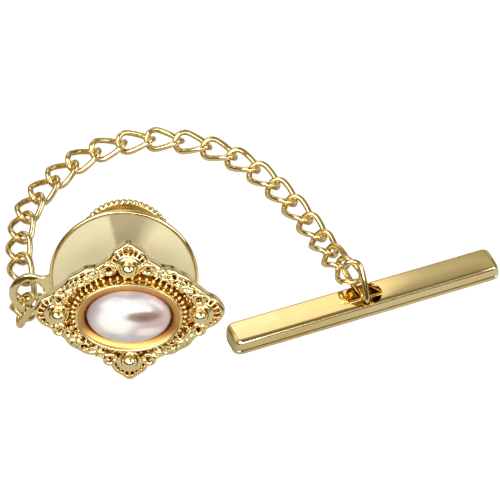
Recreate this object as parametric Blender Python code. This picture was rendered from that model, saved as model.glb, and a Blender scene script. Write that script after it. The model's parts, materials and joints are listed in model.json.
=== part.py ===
"""Tie tack: a lozenge-shaped jewelled head on a post, the ball-lock clutch that grips the post,
and the safety chain with its toggle bar.

Everything is placed as the pieces lie on a table: the clutch rests on the rims of its disc and of
its pull knob, so its pin axis leans back, and the chain runs round behind it to the bar.
Driving dimensions are in millimetres; meshes are made in metres, +Z up.
"""
import math

import bmesh
import bpy
from mathutils import Matrix, Vector

MM = 0.001

# --- clutch: forward along the pin is positive, the front plane of the disc's rim is zero ---
DISC_RADIUS = 5.5
DISC_SHEET = 0.42
DISC_DISH = 0.55
DISC_RIM = 0.22
DISC_ROLL = 0.09
DISC_FLAT_RADIUS = 2.0
DISC_FLAT_RISE = 0.03
DISC_SHOULDER_RADIUS = 4.6
DISC_SHOULDER_DROP = 0.16
POST_HOLE_RADIUS = 0.62
EAR_RADIUS = 1.58
EAR_HOLE_RADIUS = 0.97
EAR_THICKNESS = 0.38
EAR_PLANE = -0.32
EAR_REACH = 7.03
EAR_ANGLE = 191.5
EAR_NECK_WIDTH = 1.9
EAR_NECK_ROOT = 4.7

HOUSING_RADIUS = 2.35
HOUSING_FRONT = -0.98
HOUSING_REAR = -5.0
HOUSING_WALL = 0.2
HOUSING_FLANGE = 0.3
CONE_ANGLE = 12.0
CAP_THICKNESS = 0.42
CAP_RADIUS = 2.1
RUNNING_GAP = 0.02

BALL_RADIUS = 0.5
BALL_PLANE = -1.95
BALL_COUNT = 3
CAGE_RADIUS = 1.26
CAGE_FRONT = -1.3
WINDOW_DEPTH = 2.0
SHOULDER_RADIUS = 1.6
SHOULDER_FRONT = -2.65
SHOULDER_REAR = -2.85
STEM_RADIUS = 0.95
STEM_REAR = -6.15
STEM_BORE_END = -5.15
SPRING_WIRE = 0.22
SPRING_TURNS = 4
SPRING_RADIUS = 1.3

KNOB_RADIUS = 3.5
KNOB_PLANE = -6.05
KNOB_TEETH = 26
KNOB_TOOTH_DEPTH = 0.15
# the knob's web, dished between its hub and its rim: radius, front face, rear face
KNOB_HUB = (1.5, -5.4, -6.0)
KNOB_WEB = (2.6, -5.66, -6.2)
KNOB_RIM_ROOT = (2.98, -5.68, -6.35)
KNOB_EDGE_FRONT = -5.78
KNOB_EDGE_REAR = -6.38

# --- jewelled head, on the same pin axis ---
POST_RADIUS = 0.5
POST_TIP = -4.95
POST_TOP = 4.15
GROOVE_DEPTH = 0.08
GROOVE_AHEAD = (1.1, 1.2, 1.5, 1.6)
POINT_LENGTH = 0.9
POINT_TAPER = 0.34
PAD_RADIUS = 1.5
PAD_THICKNESS = 0.45
HEAD_SHIFT = 0.5
PLATE_BACK = 4.62
PLATE_THICKNESS = 0.9
FIELD_RAISE = 0.4
FIELD_SCALE = 0.83
TIP_BALL_SIDE = 5.15
TIP_BALL_TOP = 3.75
BALL_BOSS_RADIUS = 0.57
BALL_BOSS_PLANE = 6.1
SEAT_OVAL = (2.95, 2.05)
BEZEL_OVAL = (3.93, 2.8)
STONE_OVAL = (3.4, 2.35)
LIP_OVAL = (3.63, 2.55)
LIP_PLANE = 6.45
STONE_BASE = 5.78
STONE_HEIGHT = 1.55
STONE_GIRDLE = 0.12
SEAT_GAP = 0.03
BOSS_GAP = 0.04
CUP_HOLLOW = (2.55, 1.65)
CUP_FLOOR = 0.3
BACK_HOLLOW_DEPTH = 0.45
BACK_HOLLOW_ISLAND = (3.6, 2.7)
BACK_HOLLOW_SCALE = 0.86
# a quarter of the plate's outline, from the right tip round to the top tip
PLATE_QUARTER = (
    (6.95, 0.0), (6.6, 0.8), (5.7, 1.45), (5.0, 2.0), (4.35, 2.75), (3.3, 3.4),
    (2.3, 3.7), (1.65, 4.15), (1.0, 4.95), (0.0, 5.55),
)

# --- chain ---
CURB_COUNT = 22
CURB_WIRE = 0.47
CURB_WIDTH = 2.15
CURB_TWIST = -45.0
CHAIN_PLAY = 0.08
END_LINK_LENGTH = 4.0
END_LINK_WIDTH = 1.8
END_LINK_WIRE = 0.48
EAR_LINK_TWIST = -15.0
BAR_LINK_TWIST = 35.0
CORNER_REACH = 0.7
CORNER_SIDE = 0.25
# the last curb link hangs on the side of the bar link, this far below its top
HOOK_REACH = 1.5
HOOK_SIDE = 0.28
LAST_ROLL = 30.0
# the ear link: where its upper end stands in the ear's hole, in the clutch's own frame,
# and the direction in which it hangs from there, on the table's axes
EAR_LINK_TOP = (-6.2, -1.35, 0.5)
EAR_LINK_RUN = (-0.4375, 0.204, -0.876)
# the chain's route between its first and its last pivot, seen from above, with its height
CHAIN_ROUTE = (
    (-7.62, 3.4, 0.63), (-8.1, 6.9, 0.63), (-7.75, 11.1, 0.63), (-5.8, 14.7, 0.63),
    (-2.9, 17.65, 0.63), (1.1, 19.15, 0.63), (5.35, 18.6, 0.63), (9.15, 16.3, 0.63),
    (11.95, 12.9, 0.63), (14.05, 9.3, 0.75), (15.25, 6.3, 1.3), (16.1, 4.3, 2.0),
)

# --- toggle bar ---
BAR_LENGTH = 21.3
BAR_WIDTH = 2.45
BAR_HEIGHT = 1.4
BAR_WALL_HEIGHT = 0.35
BAR_CENTRE = (17.69, 2.04)
BAR_YAW = 22.0
BAR_HOLE_WIDTH = 2.1
BAR_HOLE_LENGTH = 2.7
BAR_PLATE = 0.2
BAR_CHANNEL_WIDTH = 1.85
BAR_CHANNEL_TOP = 1.0
BAR_CHANNEL_LENGTH = 20.0
BAR_FOOT_BEVEL = 0.12
BAR_SQUARENESS = 0.8
# how the bar's section shrinks towards its ends: distance from the end, scale
BAR_END_STATIONS = ((0.0, 0.78), (0.08, 0.9), (0.3, 0.98), (0.6, 1.0))
PIN_RADIUS = 0.15
PIN_HEIGHT = 1.1
PIN_LENGTH = 4.6
PIN_OFFSET = -0.17
# the bar link leans back and a little to one side as it leaves the hole
BAR_LINK_RUN = (-0.93, 1.05, 2.35)
# how far the middle of the bar link is turned from standing square to the bar
BAR_LINK_TURN = 30.0

RIM_REAR = -DISC_RIM - DISC_ROLL
LEAN = math.atan2(DISC_RADIUS - KNOB_RADIUS, RIM_REAR - KNOB_PLANE)
DISC_CENTRE_HEIGHT = DISC_RADIUS * math.cos(LEAN) - RIM_REAR * math.sin(LEAN)


def clear_scene():
    for obj in list(bpy.data.objects):
        bpy.data.objects.remove(obj, do_unlink=True)


def material(name, colour, roughness, metallic):
    made = bpy.data.materials.new(name)
    made.use_nodes = True
    shader = made.node_tree.nodes["Principled BSDF"]
    shader.inputs["Base Color"].default_value = (*colour, 1.0)
    shader.inputs["Roughness"].default_value = roughness
    shader.inputs["Metallic"].default_value = metallic
    return made


def empty(name, location=(0, 0, 0), rotation=(0, 0, 0), parent=None):
    made = bpy.data.objects.new(name, None)
    bpy.context.collection.objects.link(made)
    made.parent = parent
    made.location = Vector(location) * MM
    made.rotation_euler = rotation
    return made


def add_object(name, bm, finish, parent, location=(0, 0, 0), sharp=35.0):
    """An object from a bmesh in millimetres, smooth-shaded apart from its sharp edges."""
    bmesh.ops.recalc_face_normals(bm, faces=bm.faces)
    mesh = bpy.data.meshes.new(name)
    bmesh.ops.scale(bm, vec=(MM, MM, MM), verts=bm.verts)
    bm.to_mesh(mesh)
    bm.free()
    mesh.shade_smooth()
    mesh.set_sharp_from_angle(angle=math.radians(sharp))
    return place_mesh(name, mesh, finish, parent, location)


def place_mesh(name, mesh, finish, parent, location=(0, 0, 0)):
    made = bpy.data.objects.new(name, mesh)
    if not mesh.materials:
        mesh.materials.append(finish)
    bpy.context.collection.objects.link(made)
    made.parent = parent
    made.location = Vector(location) * MM
    return made


def combine(target, tool, operation):
    """Cuts the tool from the target, or joins it on; the tool itself isn't part of the object."""
    tool.hide_render = True
    tool.display_type = "WIRE"
    modifier = target.modifiers.new(tool.name, "BOOLEAN")
    modifier.operation = operation
    modifier.solver = "EXACT"
    modifier.object = tool


def loops_to_bmesh(loops, closed):
    """Skins a list of equal closed loops; closed joins the last loop to the first."""
    bm = bmesh.new()
    rings = [[bm.verts.new(point) for point in loop] for loop in loops]
    pairs = list(zip(rings, rings[1:]))
    if closed:
        pairs.append((rings[-1], rings[0]))
    for one, other in pairs:
        count = len(one)
        for i in range(count):
            j = (i + 1) % count
            bm.faces.new((one[i], one[j], other[j], other[i]))
    if not closed:
        bm.faces.new(rings[0])
        bm.faces.new(rings[-1])
    return bm


def oval_loop(half_x, half_y, height, segments, shift=0.0):
    turns = [math.tau * i / segments for i in range(segments)]
    return [(shift + half_x * math.cos(t), half_y * math.sin(t), height) for t in turns]


def turned(profile, segments, closed):
    """A turned piece: its profile is a list of (radius, height)."""
    return loops_to_bmesh([oval_loop(r, r, z, segments) for r, z in profile], closed)


def stadium(half_length, half_width, arc_steps, side_steps):
    """Centre-line points of a flat-sided oval in the XY plane, with its ends along X."""
    straight = half_length - half_width
    points = []
    for side in (1, -1):
        for i in range(arc_steps + 1):
            turn = math.radians(-90 + 180 * i / arc_steps)
            x = side * (straight + half_width * math.cos(turn))
            points.append(Vector((x, side * half_width * math.sin(turn), 0)))
        for i in range(1, side_steps):
            x = side * straight * (1 - 2 * i / side_steps)
            points.append(Vector((x, side * half_width, 0)))
    return points


def twisted_link(half_length, half_width, wire, twist, steps, sides):
    """A wire link about its own middle; its ends turn by the twist, opposite ways."""
    points, normals = [], []
    for flat in stadium(half_length, half_width, *steps):
        turn = Matrix.Rotation(math.radians(twist) * flat.x / half_length, 3, "X")
        points.append(turn @ flat)
        normals.append(turn @ Vector((0, 0, 1)))
    return wire_ring(points, normals, wire / 2, sides)


def wire_ring(points, normals, radius, sides):
    """A closed wire along the points; each normal lies across the wire there."""
    loops = []
    count = len(points)
    for i, point in enumerate(points):
        tangent = (points[(i + 1) % count] - points[i - 1]).normalized()
        across = (normals[i] - tangent * normals[i].dot(tangent)).normalized()
        side = tangent.cross(across)
        loop = []
        for k in range(sides):
            turn = math.tau * k / sides
            loop.append(point + radius * (math.cos(turn) * across + math.sin(turn) * side))
        loops.append(loop)
    return loops_to_bmesh(loops, closed=True)


# ---------------------------------------------------------------- clutch


def clutch_disc(gold, frame):
    """The dished front disc with its rolled rim, and the ear that holds the chain."""
    back = -DISC_DISH - DISC_SHEET
    profile = [
        (POST_HOLE_RADIUS, -DISC_DISH), (DISC_FLAT_RADIUS, -DISC_DISH + DISC_FLAT_RISE),
        (DISC_SHOULDER_RADIUS, -DISC_SHOULDER_DROP), (DISC_RADIUS - 0.2, 0.0),
        (DISC_RADIUS, -DISC_ROLL), (DISC_RADIUS, RIM_REAR), (DISC_RADIUS - 0.25, RIM_REAR - 0.07),
        (DISC_SHOULDER_RADIUS, -DISC_SHOULDER_DROP - DISC_SHEET),
        (DISC_FLAT_RADIUS, back + DISC_FLAT_RISE), (POST_HOLE_RADIUS, back),
    ]
    disc = add_object("clutch_disc", turned(profile, 48, closed=True), gold, frame)
    turn = math.radians(EAR_ANGLE)
    centre = Vector((math.cos(turn), math.sin(turn), 0)) * EAR_REACH
    half = EAR_THICKNESS / 2
    ear_profile = [
        (EAR_HOLE_RADIUS, half), (EAR_RADIUS, half), (EAR_RADIUS, -half), (EAR_HOLE_RADIUS, -half),
    ]
    ear = add_object("ear_form", turned(ear_profile, 24, closed=True), gold, frame)
    ear.location = (centre + Vector((0, 0, EAR_PLANE))) * MM
    neck = bmesh.new()
    bmesh.ops.create_cube(neck, size=1.0)
    inner, outer = EAR_NECK_ROOT, EAR_REACH - EAR_HOLE_RADIUS - 0.25
    bmesh.ops.scale(neck, vec=(outer - inner, EAR_NECK_WIDTH, EAR_THICKNESS), verts=neck.verts)
    bmesh.ops.translate(neck, vec=((outer + inner) / 2, 0, EAR_PLANE), verts=neck.verts)
    neck_form = add_object("neck_form", neck, gold, frame)
    neck_form.rotation_euler = (0, 0, turn)
    combine(disc, neck_form, "UNION")
    combine(disc, ear, "UNION")


def cone_radius(height):
    """The bore's radius where a seated ball would just clear the cone."""
    slope = math.tan(math.radians(CONE_ANGLE))
    seat = ball_orbit() + (BALL_RADIUS + RUNNING_GAP) / math.cos(math.radians(CONE_ANGLE))
    return seat + (BALL_PLANE - height) * slope


def ball_orbit():
    return POST_RADIUS + BALL_RADIUS + RUNNING_GAP


def clutch_housing(gold, frame):
    """The drawn barrel: its bore narrows towards the disc, so the post pulls the balls tight."""
    inside = HOUSING_FRONT - HOUSING_WALL
    cap_seat = HOUSING_REAR + CAP_THICKNESS + RUNNING_GAP
    flange = HOUSING_RADIUS + HOUSING_FLANGE
    profile = [
        (POST_HOLE_RADIUS, HOUSING_FRONT), (flange, HOUSING_FRONT),
        (flange, HOUSING_FRONT - 0.25), (HOUSING_RADIUS, HOUSING_FRONT - 0.4),
        (HOUSING_RADIUS, HOUSING_REAR + 0.15), (HOUSING_RADIUS - 0.1, HOUSING_REAR),
        (CAP_RADIUS + RUNNING_GAP, HOUSING_REAR), (CAP_RADIUS + RUNNING_GAP, cap_seat),
        (cone_radius(cap_seat), cap_seat), (cone_radius(inside), inside),
        (POST_HOLE_RADIUS, inside),
    ]
    add_object("clutch_housing", turned(profile, 36, closed=True), gold, frame)


def housing_cap(gold, frame):
    """The washer that closes the barrel and backs the spring."""
    rear, hole = HOUSING_REAR, STEM_RADIUS + 2 * RUNNING_GAP
    profile = [
        (hole, rear + CAP_THICKNESS), (CAP_RADIUS, rear + CAP_THICKNESS),
        (CAP_RADIUS, rear), (hole, rear),
    ]
    add_object("housing_cap", turned(profile, 36, closed=True), gold, frame)


def ball_cage(brass, frame):
    """The sleeve that carries the balls, with a shoulder for the spring and a closed stem."""
    bore = POST_HOLE_RADIUS
    profile = [
        (bore, CAGE_FRONT), (CAGE_RADIUS, CAGE_FRONT), (CAGE_RADIUS, SHOULDER_FRONT),
        (SHOULDER_RADIUS, SHOULDER_FRONT), (SHOULDER_RADIUS, SHOULDER_REAR),
        (STEM_RADIUS, SHOULDER_REAR), (STEM_RADIUS, STEM_REAR),
    ]
    inside = [(bore, STEM_BORE_END)]
    cage = add_object("ball_cage", turned_cup(profile, inside, 24), brass, frame)
    for i in range(BALL_COUNT):
        window = BALL_RADIUS + RUNNING_GAP
        hole = turned([(window, -0.1), (window, WINDOW_DEPTH)], 16, closed=False)
        cutter = add_object(f"ball_window_{i + 1}", hole, brass, frame)
        cutter.location = (0, 0, BALL_PLANE * MM)
        cutter.rotation_euler = (0, math.radians(90), ball_turn(i))
        combine(cage, cutter, "DIFFERENCE")


def turned_cup(outside, inside, segments):
    """A turned piece with a blind bore: the outside runs from the mouth, the inside ends it."""
    mouth = [oval_loop(r, r, z, segments) for r, z in inside]
    loops = mouth + [oval_loop(r, r, z, segments) for r, z in outside]
    return loops_to_bmesh(loops, closed=False)


def ball_turn(index):
    return math.radians(90 + 360 * index / BALL_COUNT)


def lock_balls(steel, frame):
    """The locking balls; each has its own origin on its radial path."""
    for i in range(BALL_COUNT):
        ball = bmesh.new()
        bmesh.ops.create_icosphere(ball, subdivisions=2, radius=BALL_RADIUS)
        turn = ball_turn(i)
        spot = (ball_orbit() * math.cos(turn), ball_orbit() * math.sin(turn), BALL_PLANE)
        add_object(f"lock_ball_{i + 1}", ball, steel, frame, spot, sharp=180)


def locking_spring(steel, frame):
    """The helical spring between the cage's shoulder and the cap, with closed ends."""
    radius = SPRING_WIRE / 2
    start = SHOULDER_REAR - radius - 0.03
    end = HOUSING_REAR + CAP_THICKNESS + radius + 0.03
    steps_per_turn = 14
    steps = SPRING_TURNS * steps_per_turn
    centre = []
    for i in range(steps + 1):
        turn = math.tau * i / steps_per_turn
        height = start + (end - start) * i / steps
        centre.append(Vector((SPRING_RADIUS * math.cos(turn), SPRING_RADIUS * math.sin(turn), height)))
    loops = []
    for i, point in enumerate(centre):
        ahead, behind = centre[min(i + 1, steps)], centre[max(i - 1, 0)]
        tangent = (ahead - behind).normalized()
        out = Vector((point.x, point.y, 0)).normalized()
        out = (out - tangent * out.dot(tangent)).normalized()
        side = tangent.cross(out)
        turns = [math.tau * k / 6 for k in range(6)]
        loops.append([point + radius * (math.cos(t) * out + math.sin(t) * side) for t in turns])
    add_object("locking_spring", loops_to_bmesh(loops, closed=False), steel, frame)


def pull_knob(gold, frame):
    """The dished knob with a serrated rim; pulling it back frees the post."""
    hole = STEM_RADIUS + RUNNING_GAP
    across = (KNOB_HUB, KNOB_WEB, KNOB_RIM_ROOT)
    front = [(hole, KNOB_HUB[1])] + [(radius, ahead) for radius, ahead, _ in across]
    edge = [(KNOB_RADIUS - 0.12, KNOB_EDGE_FRONT), (KNOB_RADIUS, KNOB_PLANE),
            (KNOB_RADIUS - 0.25, KNOB_EDGE_REAR)]
    rear = [(radius, behind) for radius, _, behind in reversed(across)] + [(hole, KNOB_HUB[2])]
    profile = front + edge + rear
    serrated = range(len(front), len(front) + len(edge))
    segments = 2 * KNOB_TEETH
    loops = []
    for index, (radius, height) in enumerate(profile):
        loop = oval_loop(radius, radius, height, segments)
        if index in serrated:
            inner = (radius - KNOB_TOOTH_DEPTH) / radius
            loop = [(x * inner, y * inner, z) if k % 2 == 0 else (x, y, z)
                    for k, (x, y, z) in enumerate(loop)]
        loops.append(loop)
    add_object("pull_knob", loops_to_bmesh(loops, closed=True), gold, frame)


# ---------------------------------------------------------------- head


def tack_post(steel, frame):
    """The pin, with a groove for the balls and a blunt point."""
    a, b, c, d = (BALL_PLANE + ahead for ahead in GROOVE_AHEAD)
    neck = POST_RADIUS - GROOVE_DEPTH
    profile = [
        (POST_RADIUS, POST_TOP), (POST_RADIUS, d), (neck, c), (neck, b), (POST_RADIUS, a),
        (POST_RADIUS, POST_TIP + POINT_LENGTH), (POST_RADIUS - POINT_TAPER, POST_TIP),
    ]
    add_object("tack_post", turned(profile, 16, closed=False), steel, frame)


def post_pad(gold, frame):
    """The disc at the post's head, soldered to the back of the setting."""
    top = PLATE_BACK - 0.01
    profile = [
        (PAD_RADIUS - 0.1, top), (PAD_RADIUS, top - 0.1),
        (PAD_RADIUS, top - PAD_THICKNESS + 0.12), (PAD_RADIUS - 0.2, top - PAD_THICKNESS),
    ]
    add_object("post_pad", turned(profile, 24, closed=False), gold, frame)


def smooth_outline(points, steps):
    """A closed Catmull-Rom curve through the points."""
    count = len(points)
    out = []
    for i in range(count):
        a, b, c, d = (Vector(points[(i + k) % count]) for k in (-1, 0, 1, 2))
        for s in range(steps):
            t = s / steps
            out.append(0.5 * (2 * b + (c - a) * t + (2 * a - 5 * b + 4 * c - d) * t * t
                              + (3 * b - a - 3 * c + d) * t ** 3))
    return out


def plate_outline():
    """The whole outline: the quarter mirrored about both axes."""
    upper = list(PLATE_QUARTER) + [(-x, y) for x, y in reversed(PLATE_QUARTER[:-1])]
    lower = [(x, -y) for x, y in reversed(upper[1:-1])]
    return smooth_outline(upper + lower, 2)


def ornament_frame(gold, frame):
    """The cast lozenge: a stepped plate, ball bosses at its four tips, an oval seat through it."""
    outline = plate_outline()
    front = PLATE_BACK + PLATE_THICKNESS
    top = front + FIELD_RAISE
    levels = [(1.0, PLATE_BACK), (1.0, front - 0.2), (0.97, front), (FIELD_SCALE + 0.05, front + 0.02),
              (FIELD_SCALE, top), (0.6, top)]
    loops = [[(HEAD_SHIFT + p.x * scale, p.y * scale, z) for p in outline] for scale, z in levels]
    plate = add_object("ornament_frame", loops_to_bmesh(loops, closed=False), gold, frame)
    tips = [(s * TIP_BALL_SIDE, 0) for s in (1, -1)] + [(0, s * TIP_BALL_TOP) for s in (1, -1)]
    for i, (x, y) in enumerate(tips):
        boss = bmesh.new()
        bmesh.ops.create_icosphere(boss, subdivisions=2, radius=BALL_BOSS_RADIUS)
        spot = (HEAD_SHIFT + x, y, BALL_BOSS_PLANE)
        combine(plate, add_object(f"tip_ball_{i + 1}", boss, gold, frame, spot), "UNION")
    seat = [oval_loop(*SEAT_OVAL, z, 40, HEAD_SHIFT) for z in (PLATE_BACK - 1, front + 0.03)]
    combine(plate, add_object("seat_cut", loops_to_bmesh(seat, closed=False), gold, frame),
            "DIFFERENCE")
    room = [oval_loop(BEZEL_OVAL[0] + SEAT_GAP, BEZEL_OVAL[1] + SEAT_GAP, z, 40, HEAD_SHIFT)
            for z in (front - 0.02, front + 2)]
    combine(plate, add_object("bezel_cut", loops_to_bmesh(room, closed=False), gold, frame),
            "DIFFERENCE")
    combine(plate, back_hollow(outline, gold, frame), "DIFFERENCE")


def back_hollow(outline, gold, frame):
    """The cutter for the casting's hollow back: inside the edge, round an island at the seat."""
    top = PLATE_BACK + BACK_HOLLOW_DEPTH
    scale = BACK_HOLLOW_SCALE
    rim = [[(HEAD_SHIFT + p.x * scale, p.y * scale, z) for p in outline]
           for z in (PLATE_BACK - 0.5, top)]
    hollow = add_object("back_hollow", loops_to_bmesh(rim, closed=False), gold, frame)
    island = [oval_loop(*BACK_HOLLOW_ISLAND, z, 40, HEAD_SHIFT) for z in (PLATE_BACK - 1, top + 1)]
    combine(hollow, add_object("back_island", loops_to_bmesh(island, closed=False), gold, frame),
            "DIFFERENCE")
    return hollow


def bezel_cup(gold, frame):
    """The oval setting: a hollow boss down into the frame's seat, a shelf and a lip."""
    front = PLATE_BACK + PLATE_THICKNESS
    boss = resized(SEAT_OVAL, -SEAT_GAP)
    stone_room = resized(STONE_OVAL, SEAT_GAP)
    shelf = STONE_BASE - RUNNING_GAP
    floor = PLATE_BACK + BOSS_GAP + CUP_FLOOR
    levels = [
        (*boss, PLATE_BACK + BOSS_GAP), (*boss, front), (*BEZEL_OVAL, front),
        (*BEZEL_OVAL, LIP_PLANE - 0.2), (*resized(BEZEL_OVAL, -0.12), LIP_PLANE),
        (*LIP_OVAL, LIP_PLANE), (*stone_room, STONE_BASE + 0.1), (*stone_room, shelf),
        (*CUP_HOLLOW, shelf), (*CUP_HOLLOW, floor),
    ]
    loops = [oval_loop(x, y, z, 40, HEAD_SHIFT) for x, y, z in levels]
    add_object("bezel_cup", loops_to_bmesh(loops, closed=False), gold, frame)


def resized(oval, change):
    return oval[0] + change, oval[1] + change


def cement_bed(glue, frame):
    """The cement that fills the cup's hollow under the stone."""
    base = PLATE_BACK + BOSS_GAP + CUP_FLOOR + RUNNING_GAP
    levels = [oval_loop(*resized(CUP_HOLLOW, -SEAT_GAP), z, 32, HEAD_SHIFT)
              for z in (base, STONE_BASE - RUNNING_GAP)]
    add_object("cement_bed", loops_to_bmesh(levels, closed=False), glue, frame)


def pearl_cabochon(pearl, frame):
    """The domed stone: flat base, short girdle, elliptical dome."""
    shoulder = STONE_BASE + STONE_GIRDLE
    dome = STONE_HEIGHT - STONE_GIRDLE
    levels = [(1.0, STONE_BASE), (1.0, shoulder)]
    for i in range(1, 7):
        turn = math.radians(90 * i / 7)
        levels.append((math.cos(turn), shoulder + dome * math.sin(turn)))
    loops = [oval_loop(STONE_OVAL[0] * s, STONE_OVAL[1] * s, z, 32, HEAD_SHIFT) for s, z in levels]
    add_object("pearl_cabochon", loops_to_bmesh(loops, closed=False), pearl, frame)


# ---------------------------------------------------------------- chain


def frame_matrix(origin, forward, up):
    """The pose of a link: its X runs forward along the chain and its Z keeps near up."""
    x = Vector(forward).normalized()
    y = Vector(up).cross(x).normalized()
    z = x.cross(y)
    turned_axes = Matrix((x, y, z)).transposed().to_4x4()
    return Matrix.Translation(Vector(origin) * MM) @ turned_axes


def marched_pivots(first, last, count):
    """Pivots at equal distances along a smooth curve through the route, first to last."""
    route = [Vector(p) for p in (first, *CHAIN_ROUTE, last)]
    padded = [2 * route[0] - route[1], *route, 2 * route[-1] - route[-2]]
    curve = []
    for a, b, c, d in zip(padded, padded[1:], padded[2:], padded[3:]):
        for s in range(40):
            t = s / 40
            curve.append(0.5 * (2 * b + (c - a) * t + (2 * a - 5 * b + 4 * c - d) * t * t
                                + (3 * b - a - 3 * c + d) * t ** 3))
    curve.append(route[-1])
    short, long = 1.0, 4.0
    for _ in range(40):
        pitch = (short + long) / 2
        pivots = [curve[0]]
        for a, b in zip(curve, curve[1:]):
            if (b - pivots[-1]).length >= pitch and len(pivots) <= count:
                pivots.append(chord_point(pivots[-1], a, b, pitch))
        if len(pivots) > count:
            short = pitch
        else:
            long = pitch
    pitch = long
    pivots[count:] = [route[-1]]
    return pivots, pitch


def chord_point(origin, a, b, pitch):
    """The point between a and b at a distance of one pitch from the origin."""
    low, high = 0.0, 1.0
    for _ in range(30):
        middle = (low + high) / 2
        if (a.lerp(b, middle) - origin).length < pitch:
            low = middle
        else:
            high = middle
    return a.lerp(b, high)


def curb_mesh(finish, pitch):
    """A curb link, twisted so that its two ends cross; its first pivot is the origin."""
    half_length = (pitch + CURB_WIRE + CHAIN_PLAY) / 2
    half_width = (CURB_WIDTH - CURB_WIRE) / 2
    bm = twisted_link(half_length, half_width, CURB_WIRE, CURB_TWIST, (6, 2), 6)
    bmesh.ops.translate(bm, vec=(pitch / 2, 0, 0), verts=bm.verts)
    template = add_object("curb_form", bm, finish, None, sharp=180)
    mesh = template.data
    bpy.data.objects.remove(template)
    mesh.name = "curb_link"
    return mesh


def end_link(name, gold, parent, pose, behind, twist):
    """A longer link; its origin lies on its hinge, this far ahead of its rear end."""
    half_length = (END_LINK_LENGTH - END_LINK_WIRE) / 2
    half_width = (END_LINK_WIDTH - END_LINK_WIRE) / 2
    bm = twisted_link(half_length, half_width, END_LINK_WIRE, twist, (8, 4), 8)
    bmesh.ops.translate(bm, vec=(half_length - behind, 0, 0), verts=bm.verts)
    link = add_object(name, bm, gold, parent, sharp=180)
    link.matrix_local = pose
    return link


def build_chain(gold, table, clutch_pose, bar_pin):
    """The ear link, the curb links and the bar link, each with its origin on its pivot."""
    run = Vector(EAR_LINK_RUN).normalized()
    top = clutch_pose @ Vector(EAR_LINK_TOP)
    centre_span = END_LINK_LENGTH - END_LINK_WIRE
    turn = math.radians(EAR_ANGLE)
    ear = Vector((math.cos(turn) * EAR_REACH, math.sin(turn) * EAR_REACH, EAR_PLANE))
    crossing = clutch_pose @ (ear + Vector((0, -(EAR_RADIUS + EAR_HOLE_RADIUS) / 2, 0)))
    behind = (crossing - top).dot(run) - END_LINK_WIRE / 2
    pin_forward = clutch_pose.to_3x3() @ Vector((0, 0, 1))
    across = pin_forward - run * pin_forward.dot(run)
    normal = run.cross(across)
    hinge = top + run * (behind + END_LINK_WIRE / 2)
    ear_link_pose = frame_matrix(hinge, run, normal)
    end_link("ear_link", gold, table, ear_link_pose, behind, EAR_LINK_TWIST)
    first = corner_pivot(top + run * (END_LINK_WIRE / 2 + centre_span), run, CHAIN_ROUTE[0])

    bar_run = Vector(BAR_LINK_RUN).normalized()
    under_pin = PIN_RADIUS + RUNNING_GAP + END_LINK_WIRE / 2
    bar_end = bar_pin + bar_run * (centre_span - under_pin)
    facing = math.radians(BAR_YAW + BAR_LINK_TURN)
    flat_normal = Vector((math.cos(facing), math.sin(facing), 0))
    hinge = bar_end - bar_run * HOOK_REACH
    bar_link_pose = frame_matrix(hinge, -bar_run, flat_normal)
    end_link("bar_link", gold, table, bar_link_pose, HOOK_REACH, BAR_LINK_TWIST)
    twist_there = -math.radians(BAR_LINK_TWIST) * (1 - 2 * HOOK_REACH / centre_span)
    side = bar_link_pose.to_3x3() @ Matrix.Rotation(twist_there, 3, "X") @ Vector((0, 1, 0))
    if side.dot(Vector(CHAIN_ROUTE[-1]) - hinge) < 0:
        side = -side
    last = hinge + side * HOOK_SIDE

    pivots, pitch = marched_pivots(first, last, CURB_COUNT)
    mesh = curb_mesh(gold, pitch)
    for i in range(CURB_COUNT):
        link = place_mesh(f"curb_link_{i + 1:02d}", mesh, gold, table)
        # the last links roll a little as they climb to the bar link
        roll = math.radians(LAST_ROLL) * max(0.0, 1 - (CURB_COUNT - 1 - i) / 2)
        pose = frame_matrix(pivots[i], pivots[i + 1] - pivots[i], (0, 0, 1))
        link.matrix_local = pose @ Matrix.Rotation(roll, 4, "X")


def corner_pivot(wire_end, run, towards):
    """The pivot of a curb link that hooks into the corner of an end link's round end."""
    inside = wire_end - run * CORNER_REACH
    side = Vector(towards) - inside
    return inside + side.normalized() * CORNER_SIDE


# ---------------------------------------------------------------- bar


def bar_section(scale):
    """The D-shaped section, flat below: upright walls and a flattened dome."""
    half, wall = BAR_WIDTH / 2 * scale, BAR_WALL_HEIGHT
    dome = BAR_HEIGHT * scale - wall
    foot = BAR_FOOT_BEVEL
    points = [(-half, foot), (-half + foot, 0.0), (half - foot, 0.0), (half, foot)]
    steps = 12
    for i in range(steps + 1):
        turn = math.pi * i / steps
        y = half * math.copysign(abs(math.cos(turn)) ** BAR_SQUARENESS, math.cos(turn))
        points.append((y, wall + dome * math.sin(turn) ** BAR_SQUARENESS))
    return points


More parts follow.
